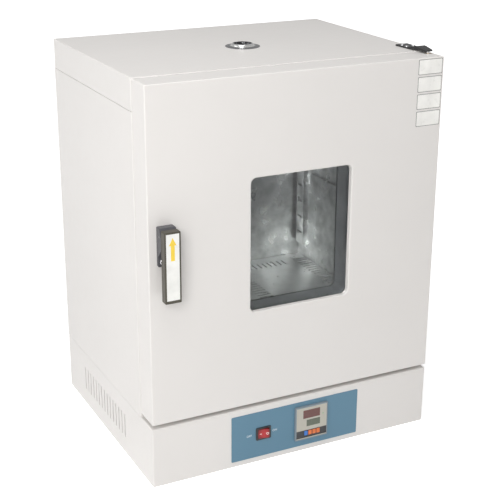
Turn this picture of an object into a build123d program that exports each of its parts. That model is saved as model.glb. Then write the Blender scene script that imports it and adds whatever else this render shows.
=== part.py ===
from build123d import *
import math
import os

# Bench-top drying oven with forced air. Millimetres, +Z up, +Y to the back.
# The origin is the middle of the footprint, on the surface that the oven stands on.

os.makedirs("parts", exist_ok=True)

# Overall size and walls
WIDTH = 600.0
DEPTH = 478.0
HEIGHT = 760.0
BASE_HEIGHT = 120.0
SIDE_WALL = 75.0
REAR_WALL = 71.0
TOP_WALL = 60.0
BOTTOM_WALL = 67.0
PLENUM = 62.0

# Sheet metal
SKIN = 1.2
BASE_SKIN = 1.5
LINER = 1.0
BEND = 3.0
EDGE = 0.4
FIT = 0.2
LAGGING_FIT = 0.5

# Cabinet skins
COVER_FLANGE = 58.0
COVER_LIP = 12.0
SEAM = 0.8
SIDE_FLANGE = 15.0
PANEL_SCREW_ROWS = 4
PANEL_SCREW_RADIUS = 2.0
PANEL_SCREW_HEAD = 4.0

# Door
DOOR_THICKNESS = 55.5
DOOR_PROUD = 2.0
DOOR_SIDE_INSET = 0.5
DOOR_TOP_GAP = 1.0
DOOR_BOTTOM_GAP = 8.0
SEAL_GAP = 3.5
SEAL_WIDTH = 14.0
SEAL_MARGIN = 10.0
SEAL_EDGE = 1.0

# Door window
WINDOW_WIDTH = 207.5
WINDOW_HEIGHT = 257.0
WINDOW_SHIFT = 3.3
WINDOW_RISE = 1.8
WINDOW_RADIUS = 11.0
WINDOW_ROLL = 3.0
WINDOW_RETURN = 10.0
GLASS = 4.0
GLASS_LAP = 9.0
RETAINER_WIDTH = 22.0
RETAINER_THICKNESS = 1.5

# Door hinges
HINGE_INSET = 10.5
HINGE_SETBACK = 17.5
HINGE_PIN_RADIUS = 4.0
HINGE_PIN_LENGTH = 18.0
HINGE_BUSH_WALL = 3.0
HINGE_BUSH_LENGTH = 22.0
HINGE_FOOT = 3.0
HINGE_FOOT_LENGTH = 46.0
HINGE_FOOT_INSET = 1.0
HINGE_PLATE_WIDTH = 27.5
HINGE_ARM = 40.0
HINGE_ARM_THICKNESS = 5.5
HINGE_TIP_THICKNESS = 2.5
HINGE_TIP_REACH = 7.0
HINGE_TIP_WIDTH = 16.5
HINGE_TIP_SHIFT = 3.0
HINGE_CRANK = 13.0
HINGE_CRANK_RUN = 6.0
HINGE_CROWN = 22.0
HINGE_CORNER = 2.0
HINGE_PIN_COVER = 1.0
HINGE_SCREW_RADIUS = 2.0
HINGE_SCREW_HEAD = 3.8
HINGE_SCREW_HEIGHT = 1.6
HINGE_SCREW_PITCH = 15.0
BOTTOM_HINGE_REACH = 19.0
BOTTOM_HINGE_PLATE = 4.0
BOTTOM_HINGE_TAIL = 27.0
RUNNING = 0.05

# Handle, pin and latch tongue
HANDLE_INSET = 31.5
HANDLE_RISE = 1.0
HANDLE_BASE_RISE = 2.0
HANDLE_WIDTH = 31.0
HANDLE_LENGTH = 131.0
HANDLE_MOUNT_LENGTH = 73.0
HANDLE_MOUNT_THICKNESS = 6.0
HANDLE_NECK_LENGTH = 53.0
HANDLE_REACH = 20.0
HANDLE_THICKNESS = 15.0
HANDLE_ROUND = 2.0
HANDLE_TRAVEL = 20.0
HANDLE_SPARE = 3.0
HANDLE_PIVOT_DROP = 14.0
HANDLE_PIVOT_REACH = 11.0
HANDLE_LUG_RADIUS = 7.0
HANDLE_LUG_WIDTH = 8.4
HANDLE_PIN_RADIUS = 2.0
HANDLE_SCREW_HEAD = 4.6
HANDLE_SCREW_HEIGHT = 2.5
INSERT_MARGIN = 3.3
INSERT_FOOT = 5.8
INSERT_THICKNESS = 1.0
TONGUE_THICKNESS = 4.0
TONGUE_HEIGHT = 10.0
TONGUE_LAP = 14.0
TONGUE_NOSE = 7.0
TONGUE_NOSE_LENGTH = 8.0
TONGUE_SIDE_GAP = 2.5
TONGUE_END_GAP = 2.0
STRIKE_THICKNESS = 2.0
STRIKE_WIDTH = 30.0
STRIKE_GAP = 0.3
STRIP_THICKNESS = 1.2
STRIP_FOOT = 6.0
STRIP_TAIL = 5.0
STRIP_TAIL_RISE = 4.0

# Chamber fittings
UPRIGHT_WIDTH = 30.0
UPRIGHT_DEPTH = 12.0
UPRIGHT_BACK_GAP = 11.0
UPRIGHT_FOOT = 32.0
UPRIGHT_HEAD = 40.0
SHELF_PITCH = 36.0
SHELF_SLOT_HEIGHT = 5.0
SHELF_SLOT_MARGIN = 4.0
GUIDE_LENGTH = 235.0
GUIDE_HEIGHT = 162.0
GUIDE_FOOT = 40.0
GUIDE_DEPTH = 7.0
GUIDE_BACK_GAP = 62.0
FLOOR_FIT = 1.5
FLOOR_SLOT_WIDTH = 4.0
FLOOR_SLOT_PITCH = 12.0
FLOOR_SIDE_SLOT = 30.0
FLOOR_BACK_SLOT = 25.0
FLOOR_SIDE_MARGIN = 3.0
FLOOR_BACK_MARGIN = 30.0
FLOOR_SIDE_COUNT = 23
FLOOR_BACK_COUNT = 8
FLOOR_INNER_EDGE = 53.0

# Heaters, probe and fan
HEATER_TUBE_RADIUS = 4.0
HEATER_BEND = 16.0
HEATER_SPREAD = 40.0
HEATER_OFFSET = 110.0
HEATER_RUN = 240.0
HEATER_HEIGHT = 30.0
HEATER_TAIL = 18.0
PROBE_RADIUS = 3.0
PROBE_LENGTH = 60.0
PROBE_FLANGE = 8.0
PROBE_INSET = 30.0
SHAFT_RADIUS = 5.0
IMPELLER_RADIUS = 75.0
IMPELLER_INNER_RADIUS = 52.0
IMPELLER_HEIGHT = 30.0
IMPELLER_LIFT = 10.0
IMPELLER_SHEET = 1.5
IMPELLER_HUB = 14.0
BLADE_COUNT = 24
BLADE_THICKNESS = 1.2
BLADE_LEAN = 24.0
BLADE_BOW = 0.36
MOTOR_RADIUS = 46.0
MOTOR_HEIGHT = 58.0
MOTOR_FLOOR_GAP = 18.0
MOTOR_BOSS = 16.0
MOTOR_PLATE = 2.5
MOTOR_POST_RADIUS = 5.0
BUSH_LENGTH = 10.0
BUSH_WALL = 4.0
HOLE_GAP = 3.0

# Exhaust vent
VENT_X = 2.0
VENT_Y = 3.0
VENT_TUBE_RADIUS = 22.5
VENT_TUBE_WALL = 1.0
VENT_FLANGE_RADIUS = 33.6
VENT_FLANGE_EDGE = 0.8
VENT_FLANGE_RISE = 2.2
VENT_RING_RADIUS = 22.0
VENT_RING_HEIGHT = 6.2
VENT_RING_ROLL = 3.6
VENT_WELL_RADIUS = 17.2
VENT_PLATE = 1.5
VENT_HOLE_RADIUS = 4.2
VENT_HOLE_COUNT = 4
VENT_HOLE_CIRCLE = 11.0
DAMPER_RADIUS = 16.6
DAMPER_THICKNESS = 1.0
DAMPER_KNOB_RADIUS = 2.8
DAMPER_KNOB_HEIGHT = 5.0
DAMPER_STEM_RADIUS = 1.6
DAMPER_STEM_END = 0.5

# Base fittings
LOUVRE_COUNT = 15
LOUVRE_PITCH = 16.4
LOUVRE_WIDTH = 4.0
LOUVRE_HEIGHT = 50.5
LOUVRE_Y = 19.0
FLOOR_TRAY_FLANGE = 15.0
BREATHER_COUNT = 9
BREATHER_PITCH = 12.0
BREATHER_WIDTH = 4.0
BREATHER_LENGTH = 60.0
BREATHER_X = 130.0
PANEL_WIDTH = 278.0
PANEL_HEIGHT = 96.0
PANEL_THICKNESS = 1.0
PANEL_Z = 58.8
PANEL_CORNER = 2.0
SWITCH_X = -71.4
SWITCH_Z = 59.8
SWITCH_WIDTH = 32.0
SWITCH_HEIGHT = 26.5
SWITCH_BEZEL = 2.0
SWITCH_BODY_DEPTH = 22.0
SWITCH_BODY_MARGIN = 1.5
SWITCH_FRAME = 3.2
SWITCH_FRAME_Z = 3.4
ROCKER_GAP = 1.4
ROCKER_GAP_Z = 0.3
ROCKER_PIVOT_DEPTH = 3.0
ROCKER_RISE = 2.5
ROCKER_DIP = 1.2
ROCKER_TILT = 11.0
ROCKER_BACK = 1.0
ROCKER_BELLY = 4.0
ROCKER_TRUNNION = 1.5
TRUNNION_LENGTH = 1.8
TRUNNION_END_GAP = 0.6
CONTROLLER_X = 32.7
CONTROLLER_Z = 61.5
CONTROLLER_SIZE = 72.0
CONTROLLER_BODY = 67.5
CONTROLLER_DEPTH = 60.0
CONTROLLER_BEZEL = 5.0
CONTROLLER_ROUND = 1.5
DISPLAY_DEPTH = 1.0
DISPLAY_SIZE = (37.5, 18.0)
DISPLAY_PLACE = (-0.4, 19.0)
SET_DISPLAY_SIZE = (30.2, 14.2)
SET_DISPLAY_PLACE = (3.8, -0.6)
KEY_STRIP_SIZE = (66.5, 16.2)
KEY_STRIP_DROP = 23.7
KEY_STRIP_DEPTH = 0.8
KEY_NAMES = ("set_key", "shift_key", "down_key", "up_key")
KEY_WIDTH = 7.4
KEY_HEIGHT = 9.4
KEY_CORNER = 1.0
KEY_PITCH = 9.05
KEY_FIRST_X = -11.9
KEY_Z = -22.6
KEY_RISE = 1.0
KEY_DEPTH = 3.0
KEY_TRAVEL = 0.6
KEY_GAP = 0.15
TERMINAL_COUNT = 6
TERMINAL_PITCH = 11.0
TERMINAL_DEPTH = 24.0
TERMINAL_HEIGHT = 12.0
TERMINAL_RIB = 2.0
TERMINAL_RIB_HEIGHT = 5.0
TERMINAL_INSET = 95.0
TERMINAL_SETBACK = 89.0
GLAND_INSET = 65.0
GLAND_Z = 45.0
GLAND_BORE = 4.5
GLAND_THREAD = 8.0
GLAND_HEX = 11.0
GLAND_NUT = 5.0
GLAND_DOME = 10.0
GLAND_DOME_TAPER = 12.0
GLAND_SHOULDER = 1.0
GLAND_TAIL = 14.0

# Places worked out from the sizes
front_y = -DEPTH / 2
back_y = DEPTH / 2
door_front_y = front_y - DOOR_PROUD
door_back_y = door_front_y + DOOR_THICKNESS
cabinet_front_y = door_back_y + SEAL_GAP
cabinet_depth = back_y - cabinet_front_y
cabinet_mid_y = (cabinet_front_y + back_y) / 2
cover_foot_z = HEIGHT - COVER_FLANGE
skin_top_z = cover_foot_z - SEAM
skin_half_x = WIDTH / 2 - SKIN - FIT
flange_x = WIDTH / 2 - SKIN - SIDE_FLANGE
frame_half_x = flange_x - FIT
frame_back_y = cabinet_front_y + SKIN
frame_top_z = HEIGHT - COVER_LIP - FIT

chamber_width = WIDTH - 2 * SIDE_WALL
chamber_back_y = back_y - REAR_WALL
chamber_top_z = HEIGHT - TOP_WALL
liner_floor_z = BASE_HEIGHT + BOTTOM_WALL
floor_z = liner_floor_z + PLENUM
liner_mid_z = (liner_floor_z + chamber_top_z) / 2
liner_height = chamber_top_z - liner_floor_z
liner_depth = chamber_back_y - frame_back_y

door_half_x = WIDTH / 2 - DOOR_SIDE_INSET
door_bottom_z = BASE_HEIGHT + DOOR_BOTTOM_GAP
door_top_z = HEIGHT - DOOR_TOP_GAP
door_height = door_top_z - door_bottom_z
door_mid_z = (door_top_z + door_bottom_z) / 2
hinge_x = door_half_x - HINGE_INSET
hinge_y = door_back_y - HINGE_SETBACK
outer_glass_y = door_front_y + WINDOW_RETURN
inner_glass_y = door_back_y - GLASS
jamb_front_y = outer_glass_y + GLASS
jamb_depth = inner_glass_y - jamb_front_y
panel_front_y = door_back_y - LINER

handle_x = -door_half_x + HANDLE_INSET
handle_mid_z = door_mid_z + HANDLE_RISE
handle_top_z = handle_mid_z + HANDLE_LENGTH / 2
base_top_z = handle_top_z + HANDLE_BASE_RISE
pivot_y = door_front_y - HANDLE_PIVOT_REACH
pivot_z = handle_top_z - HANDLE_PIVOT_DROP
lever_back_y = door_front_y - HANDLE_REACH - FIT
lever_front_y = lever_back_y - HANDLE_THICKNESS
lug_back_y = door_front_y - HANDLE_PIVOT_REACH + HANDLE_LUG_RADIUS
tongue_end_y = cabinet_front_y + TONGUE_LAP
tongue_drop = (tongue_end_y - pivot_y) * math.sin(math.radians(HANDLE_TRAVEL))
tongue_slot_low = pivot_z - TONGUE_HEIGHT / 2 - tongue_drop - TONGUE_END_GAP
tongue_slot_high = pivot_z + TONGUE_HEIGHT / 2 + TONGUE_END_GAP
strike_slot_high = tongue_slot_high + TONGUE_NOSE
tongue_slot_width = TONGUE_THICKNESS + 2 * TONGUE_SIDE_GAP

shaft_hole = SHAFT_RADIUS + HOLE_GAP
heater_hole = HEATER_TUBE_RADIUS + HOLE_GAP
heater_front_y = -HEATER_RUN / 2
fan_y = (frame_back_y + chamber_back_y) / 2
heater_low_y = fan_y + heater_front_y
probe_x = -chamber_width / 2 + PROBE_INSET
probe_z = chamber_top_z - PROBE_INSET
vent_floor_z = chamber_top_z + LINER
panel_face_y = front_y - PANEL_THICKNESS
base_mid_z = BASE_HEIGHT / 2
gland_x = -WIDTH / 2 + GLAND_INSET
terminal_at = (-WIDTH / 2 + TERMINAL_INSET, back_y - TERMINAL_SETBACK, BASE_SKIN)
switch_hole = (SWITCH_WIDTH - SWITCH_FRAME, SWITCH_HEIGHT - SWITCH_BODY_MARGIN)
controller_hole = (CONTROLLER_BODY + FIT, CONTROLLER_BODY + FIT)


# Sketch planes: seen from the front, so that a positive extrusion comes forward,
# and seen from the right, with the sketch's own x towards the back
def front_plane(y, x=0.0, z=0.0):
    return Plane(origin=(x, y, z), x_dir=(1, 0, 0), z_dir=(0, -1, 0))


def side_plane(x):
    return Plane(origin=(x, 0, 0), x_dir=(0, 1, 0), z_dir=(1, 0, 0))


# Base shell: one folded box, open underneath, with louvres in both sides
with BuildPart() as base_shell:
    with BuildSketch(Plane.XY):
        RectangleRounded(WIDTH, DEPTH, BEND)
    extrude(amount=BASE_HEIGHT)
    fillet(base_shell.faces().sort_by(Axis.Z)[-1].edges(), BEND - BASE_SKIN / 2)
    offset(amount=-BASE_SKIN, openings=base_shell.faces().sort_by(Axis.Z)[0])
    with BuildSketch(side_plane(-WIDTH / 2)):
        with Locations((LOUVRE_Y, base_mid_z)):
            with GridLocations(LOUVRE_PITCH, 0, LOUVRE_COUNT, 1):
                SlotOverall(LOUVRE_HEIGHT, LOUVRE_WIDTH, rotation=90)
    extrude(amount=WIDTH, mode=Mode.SUBTRACT)
    with BuildSketch(front_plane(front_y)):
        with Locations((SWITCH_X, SWITCH_Z)):
            Rectangle(*switch_hole)
        with Locations((CONTROLLER_X, CONTROLLER_Z)):
            Rectangle(*controller_hole)
    extrude(amount=-BASE_SKIN, mode=Mode.SUBTRACT)
    with BuildSketch(front_plane(back_y, gland_x, GLAND_Z)):
        Circle(GLAND_THREAD + RUNNING)
    extrude(amount=BASE_SKIN, mode=Mode.SUBTRACT)
    with BuildSketch(Plane.XY.offset(BASE_HEIGHT)):
        with Locations((0, fan_y)):
            Circle(shaft_hole)
        for side in (-1, 1):
            for reach in (HEATER_OFFSET, HEATER_OFFSET + HEATER_SPREAD):
                with Locations((side * reach, heater_low_y)):
                    Circle(heater_hole)
    extrude(amount=-BASE_SKIN, mode=Mode.SUBTRACT)
base_shell.part.label = "base_shell"
export_step(base_shell.part, "parts/base_shell.step")

# Base floor: a shallow tray inside the foot of the shell, with two groups of breather slots
tray_width = WIDTH - 2 * (BASE_SKIN + FIT)
tray_depth = DEPTH - 2 * (BASE_SKIN + FIT)
with BuildPart() as base_floor:
    with BuildSketch(Plane.XY):
        RectangleRounded(tray_width, tray_depth, BEND)
    extrude(amount=FLOOR_TRAY_FLANGE)
    offset(amount=-BASE_SKIN, openings=base_floor.faces().sort_by(Axis.Z)[-1])
    with BuildSketch(Plane.XY):
        with Locations((-BREATHER_X, 0), (BREATHER_X, 0)):
            with GridLocations(0, BREATHER_PITCH, 1, BREATHER_COUNT):
                Rectangle(BREATHER_LENGTH, BREATHER_WIDTH)
    extrude(amount=BASE_SKIN, mode=Mode.SUBTRACT)
base_floor.part.label = "base_floor"
export_step(base_floor.part, "parts/base_floor.step")

# Control panel: a thin coloured plate with cut-outs for the switch and the controller
with BuildPart() as control_panel:
    with BuildSketch(front_plane(front_y)):
        with Locations((0, PANEL_Z)):
            RectangleRounded(PANEL_WIDTH, PANEL_HEIGHT, PANEL_CORNER)
        with Locations((SWITCH_X, SWITCH_Z)):
            Rectangle(*switch_hole, mode=Mode.SUBTRACT)
        with Locations((CONTROLLER_X, CONTROLLER_Z)):
            Rectangle(*controller_hole, mode=Mode.SUBTRACT)
    extrude(amount=PANEL_THICKNESS)
control_panel.part.label = "control_panel"
export_step(control_panel.part, "parts/control_panel.step")

# Power switch: a snap-in housing, and a rocker on two trunnions that rocks about a vertical line
switch_face_y = panel_face_y - SWITCH_BEZEL
rocker_pivot_y = switch_face_y + ROCKER_PIVOT_DEPTH
cavity_width = SWITCH_WIDTH - 2 * SWITCH_FRAME
cavity_height = SWITCH_HEIGHT - 2 * SWITCH_FRAME_Z
cavity_depth = SWITCH_BODY_DEPTH / 2
with BuildPart() as switch_housing:
    with BuildSketch(front_plane(panel_face_y, SWITCH_X, SWITCH_Z)):
        RectangleRounded(SWITCH_WIDTH, SWITCH_HEIGHT, PANEL_CORNER)
    extrude(amount=SWITCH_BEZEL)
    chamfer(switch_housing.faces().sort_by(Axis.Y)[0].edges(), EDGE)
    with BuildSketch(front_plane(panel_face_y, SWITCH_X, SWITCH_Z)):
        Rectangle(switch_hole[0] - FIT, switch_hole[1] - FIT)
    extrude(amount=-SWITCH_BODY_DEPTH)
    with BuildSketch(front_plane(switch_face_y, SWITCH_X, SWITCH_Z)):
        Rectangle(cavity_width, cavity_height)
    extrude(amount=-cavity_depth, mode=Mode.SUBTRACT)
    with BuildSketch(Plane.XY.offset(SWITCH_Z)):
        with Locations((SWITCH_X, rocker_pivot_y)):
            Circle(ROCKER_TRUNNION + RUNNING)
    extrude(amount=cavity_height / 2 + TRUNNION_LENGTH + TRUNNION_END_GAP, both=True, mode=Mode.SUBTRACT)
switch_housing.part.label = "switch_housing"
export_step(switch_housing.part, "parts/switch_housing.step")

rocker_half = cavity_width / 2 - ROCKER_GAP
rocker_height = cavity_height - 2 * ROCKER_GAP_Z
rocker_front = ROCKER_PIVOT_DEPTH + ROCKER_RISE
rocker_plane = Plane(origin=(SWITCH_X, rocker_pivot_y, SWITCH_Z), x_dir=(1, 0, 0), z_dir=(0, 0, 1))
with BuildPart() as switch_rocker:
    with BuildSketch(rocker_plane.rotated((0, 0, -ROCKER_TILT))):
        with BuildLine():
            Line((-rocker_half, -rocker_front), (-rocker_half, ROCKER_BACK))
            belly = (0, ROCKER_BACK + ROCKER_BELLY)
            ThreePointArc((-rocker_half, ROCKER_BACK), belly, (rocker_half, ROCKER_BACK))
            Line((rocker_half, ROCKER_BACK), (rocker_half, -rocker_front))
            Line((rocker_half, -rocker_front), (0, ROCKER_DIP - rocker_front))
            Line((0, ROCKER_DIP - rocker_front), (-rocker_half, -rocker_front))
        make_face()
    extrude(amount=rocker_height / 2, both=True)
    fillet(switch_rocker.faces().sort_by(Axis.Z)[-1].edges(), EDGE)
    fillet(switch_rocker.faces().sort_by(Axis.Z)[0].edges(), EDGE)
    with BuildSketch(rocker_plane):
        Circle(ROCKER_TRUNNION)
    extrude(amount=cavity_height / 2 + TRUNNION_LENGTH, both=True)
switch_rocker.part.label = "switch_rocker"
export_step(switch_rocker.part, "parts/switch_rocker.step")

# Temperature controller: bezel and body in one moulding, two display windows and four keys
bezel_face_y = panel_face_y - CONTROLLER_BEZEL
key_floor_y = bezel_face_y + KEY_STRIP_DEPTH
key_places = [(KEY_FIRST_X + n * KEY_PITCH, KEY_Z) for n in range(len(KEY_NAMES))]
with BuildPart() as controller_case:
    with BuildSketch(front_plane(panel_face_y, CONTROLLER_X, CONTROLLER_Z)):
        RectangleRounded(CONTROLLER_SIZE, CONTROLLER_SIZE, CONTROLLER_ROUND)
    extrude(amount=CONTROLLER_BEZEL)
    fillet(controller_case.faces().sort_by(Axis.Y)[0].edges(), CONTROLLER_ROUND / 2)
    with BuildSketch(front_plane(panel_face_y, CONTROLLER_X, CONTROLLER_Z)):
        Rectangle(CONTROLLER_BODY, CONTROLLER_BODY)
    extrude(amount=-CONTROLLER_DEPTH)
    with BuildSketch(front_plane(bezel_face_y, CONTROLLER_X, CONTROLLER_Z)):
        with Locations(DISPLAY_PLACE):
            Rectangle(*DISPLAY_SIZE)
        with Locations(SET_DISPLAY_PLACE):
            Rectangle(*SET_DISPLAY_SIZE)
    extrude(amount=-DISPLAY_DEPTH, mode=Mode.SUBTRACT)
    with BuildSketch(front_plane(bezel_face_y, CONTROLLER_X, CONTROLLER_Z)):
        with Locations((0, -KEY_STRIP_DROP)):
            Rectangle(*KEY_STRIP_SIZE)
    extrude(amount=-KEY_STRIP_DEPTH, mode=Mode.SUBTRACT)
    with BuildSketch(front_plane(key_floor_y, CONTROLLER_X, CONTROLLER_Z)):
        with Locations(*key_places):
            Rectangle(KEY_WIDTH + 2 * KEY_GAP, KEY_HEIGHT + 2 * KEY_GAP)
    extrude(amount=-(KEY_DEPTH + 2 * KEY_TRAVEL), mode=Mode.SUBTRACT)
controller_case.part.label = "controller_case"
export_step(controller_case.part, "parts/controller_case.step")

with BuildPart() as display_windows:
    with BuildSketch(front_plane(bezel_face_y + DISPLAY_DEPTH, CONTROLLER_X, CONTROLLER_Z)):
        with Locations(DISPLAY_PLACE):
            Rectangle(*DISPLAY_SIZE)
        with Locations(SET_DISPLAY_PLACE):
            Rectangle(*SET_DISPLAY_SIZE)
    extrude(amount=DISPLAY_DEPTH)
display_windows.part.label = "display_windows"
export_step(display_windows.part, "parts/display_windows.step")

for name, place in zip(KEY_NAMES, key_places):
    with BuildPart() as key:
        with BuildSketch(front_plane(key_floor_y + KEY_DEPTH, CONTROLLER_X, CONTROLLER_Z)):
            with Locations(place):
                RectangleRounded(KEY_WIDTH, KEY_HEIGHT, KEY_CORNER)
        extrude(amount=KEY_DEPTH + KEY_RISE)
        chamfer(key.faces().sort_by(Axis.Y)[0].edges(), EDGE)
    key.part.label = name
    export_step(key.part, f"parts/{name}.step")

# Terminal block on the base floor: a barrier strip with a screw well between its ribs
terminal_length = TERMINAL_COUNT * TERMINAL_PITCH + TERMINAL_RIB
terminal_plane = Plane(origin=terminal_at, x_dir=(1, 0, 0), z_dir=(0, 0, 1))
with BuildPart() as terminal_block:
    with BuildSketch(terminal_plane):
        Rectangle(terminal_length, TERMINAL_DEPTH)
    extrude(amount=TERMINAL_HEIGHT)
    with BuildSketch(terminal_plane.offset(TERMINAL_HEIGHT)):
        with GridLocations(TERMINAL_PITCH, 0, TERMINAL_COUNT + 1, 1):
            Rectangle(TERMINAL_RIB, TERMINAL_DEPTH)
    extrude(amount=TERMINAL_RIB_HEIGHT)
    with BuildSketch(terminal_plane.offset(TERMINAL_HEIGHT)):
        with GridLocations(TERMINAL_PITCH, TERMINAL_DEPTH / 2, TERMINAL_COUNT, 2):
            RegularPolygon(TERMINAL_PITCH / 4, 6)
    extrude(amount=-TERMINAL_HEIGHT / 2, mode=Mode.SUBTRACT)
terminal_block.part.label = "terminal_block"
export_step(terminal_block.part, "parts/terminal_block.step")

# Cable gland through the back of the base: locknut, hexagon, clamping dome and a bore for the lead
with BuildPart() as cable_gland:
    with BuildSketch(front_plane(back_y, gland_x, GLAND_Z)):
        Circle(GLAND_THREAD)
    extrude(amount=GLAND_TAIL)
    with BuildSketch(front_plane(back_y - BASE_SKIN, gland_x, GLAND_Z)):
        RegularPolygon(GLAND_HEX, 6)
    extrude(amount=GLAND_NUT)
    with BuildSketch(front_plane(back_y, gland_x, GLAND_Z)):
        RegularPolygon(GLAND_HEX, 6)
    extrude(amount=-GLAND_NUT)
    with BuildSketch(front_plane(back_y + GLAND_NUT, gland_x, GLAND_Z)):
        Circle(GLAND_THREAD + GLAND_SHOULDER)
    extrude(amount=-GLAND_DOME, taper=GLAND_DOME_TAPER)
    with BuildSketch(front_plane(back_y - GLAND_TAIL, gland_x, GLAND_Z)):
        Circle(GLAND_BORE)
    extrude(amount=-(GLAND_TAIL + GLAND_NUT + GLAND_DOME), mode=Mode.SUBTRACT)
cable_gland.part.label = "cable_gland"
export_step(cable_gland.part, "parts/cable_gland.step")

# Cabinet side panels: bent round the front corner, with a second flange behind the rear panel
with BuildPart() as right_side_panel:
    with BuildSketch(Plane.XY.offset(BASE_HEIGHT)):
        with BuildLine():
            FilletPolyline(
                (flange_x, cabinet_front_y + SKIN / 2),
                (WIDTH / 2 - SKIN / 2, cabinet_front_y + SKIN / 2),
                (WIDTH / 2 - SKIN / 2, back_y),
                radius=BEND - SKIN / 2,
            )
        trace(line_width=SKIN)
        with Locations((WIDTH / 2 - SKIN - SIDE_FLANGE / 2, back_y - 1.5 * SKIN)):
            Rectangle(SIDE_FLANGE, SKIN)
    extrude(amount=skin_top_z - BASE_HEIGHT)
    fillet(right_side_panel.edges().filter_by(Axis.Z).group_by(Axis.X)[-1].sort_by(Axis.Y)[-1], SKIN / 2)
right_side_panel.part.label = "right_side_panel"
export_step(right_side_panel.part, "parts/right_side_panel.step")

with BuildPart() as left_side_panel:
    add(right_side_panel.part)
    mirror(about=Plane.YZ, mode=Mode.REPLACE)
left_side_panel.part.label = "left_side_panel"
export_step(left_side_panel.part, "parts/left_side_panel.step")

# Rear panel, and the row of screws down each edge that fixes it to the side flanges
screw_x = WIDTH / 2 - SKIN - SIDE_FLANGE / 2
screw_pitch_z = (skin_top_z - BASE_HEIGHT) / PANEL_SCREW_ROWS
rear_mid_z = (skin_top_z + BASE_HEIGHT) / 2
with BuildPart() as rear_panel:
    with BuildSketch(front_plane(back_y)):
        with Locations((0, rear_mid_z)):
            Rectangle(2 * skin_half_x, skin_top_z - BASE_HEIGHT)
            with GridLocations(2 * screw_x, screw_pitch_z, 2, PANEL_SCREW_ROWS):
                Circle(PANEL_SCREW_RADIUS + RUNNING, mode=Mode.SUBTRACT)
    extrude(amount=SKIN)
rear_panel.part.label = "rear_panel"
export_step(rear_panel.part, "parts/rear_panel.step")

with BuildPart() as rear_screws:
    with BuildSketch(front_plane(back_y)):
        with Locations((0, rear_mid_z)):
            with GridLocations(2 * screw_x, screw_pitch_z, 2, PANEL_SCREW_ROWS):
                Circle(PANEL_SCREW_HEAD)
    extrude(amount=-PANEL_SCREW_RADIUS)
    chamfer(rear_screws.faces().group_by(Axis.Y)[-1].edges(), EDGE * 2)
    with BuildSketch(front_plane(back_y)):
        with Locations((0, rear_mid_z)):
            with GridLocations(2 * screw_x, screw_pitch_z, 2, PANEL_SCREW_ROWS):
                Circle(PANEL_SCREW_RADIUS)
    extrude(amount=SKIN)
rear_screws.part.label = "rear_screws"
export_step(rear_screws.part, "parts/rear_screws.step")

# Top cover: a cap with deep flanges all round, open at the front between the two corner returns
# below a short lip
vent_at = (VENT_X, VENT_Y)
with BuildPart() as top_cover:
    with BuildSketch(Plane.XY.offset(cover_foot_z)):
        with Locations((0, cabinet_mid_y)):
            RectangleRounded(WIDTH, cabinet_depth, BEND)
    extrude(amount=COVER_FLANGE)
    fillet(top_cover.faces().sort_by(Axis.Z)[-1].edges(), BEND - SKIN / 2)
    offset(amount=-SKIN, openings=top_cover.faces().sort_by(Axis.Z)[0])
    with BuildSketch(front_plane(cabinet_front_y)):
        with Locations((0, cover_foot_z + (COVER_FLANGE - COVER_LIP) / 2)):
            Rectangle(2 * flange_x, COVER_FLANGE - COVER_LIP)
    extrude(amount=-(SKIN + BEND), mode=Mode.SUBTRACT)
    with BuildSketch(Plane.XY.offset(HEIGHT)):
        with Locations(vent_at):
            Circle(VENT_TUBE_RADIUS)
    extrude(amount=-SKIN, mode=Mode.SUBTRACT)
top_cover.part.label = "top_cover"
export_step(top_cover.part, "parts/top_cover.step")

# Front frame: the face that the door closes on, with the chamber mouth and the latch slot
frame_mid_z = (BASE_HEIGHT + frame_top_z) / 2
with BuildPart() as front_frame:
    with BuildSketch(front_plane(frame_back_y)):
        with Locations((0, frame_mid_z)):
            Rectangle(2 * frame_half_x, frame_top_z - BASE_HEIGHT)
        with Locations((0, liner_mid_z)):
            Rectangle(chamber_width, liner_height, mode=Mode.SUBTRACT)
        with Locations((handle_x, (tongue_slot_low + strike_slot_high) / 2)):
            Rectangle(tongue_slot_width, strike_slot_high - tongue_slot_low, mode=Mode.SUBTRACT)
    extrude(amount=SKIN)
front_frame.part.label = "front_frame"
export_step(front_frame.part, "parts/front_frame.step")

# Chamber liner: five welded bright sheets, with holes for vent, shaft, heater ends and probe
with BuildPart() as chamber_liner:
    with BuildSketch(front_plane(frame_back_y, z=liner_mid_z)):
        Rectangle(chamber_width + 2 * LINER, liner_height + 2 * LINER)
    extrude(amount=-(liner_depth + LINER))
    with BuildSketch(front_plane(frame_back_y, z=liner_mid_z)):
        Rectangle(chamber_width, liner_height)
    extrude(amount=-liner_depth, mode=Mode.SUBTRACT)
    with BuildSketch(Plane.XY.offset(chamber_top_z)):
        with Locations(vent_at):
            Circle(VENT_TUBE_RADIUS)
    extrude(amount=LINER, mode=Mode.SUBTRACT)
    with BuildSketch(Plane.XY.offset(liner_floor_z)):
        with Locations((0, fan_y)):
            Circle(shaft_hole)
        for side in (-1, 1):
            for reach in (HEATER_OFFSET, HEATER_OFFSET + HEATER_SPREAD):
                with Locations((side * reach, heater_low_y)):
                    Circle(HEATER_TUBE_RADIUS + RUNNING)
    extrude(amount=-LINER, mode=Mode.SUBTRACT)
    with BuildSketch(front_plane(chamber_back_y, probe_x, probe_z)):
        Circle(PROBE_RADIUS + RUNNING)
    extrude(amount=-LINER, mode=Mode.SUBTRACT)
chamber_liner.part.label = "chamber_liner"
export_step(chamber_liner.part, "parts/chamber_liner.step")

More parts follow.
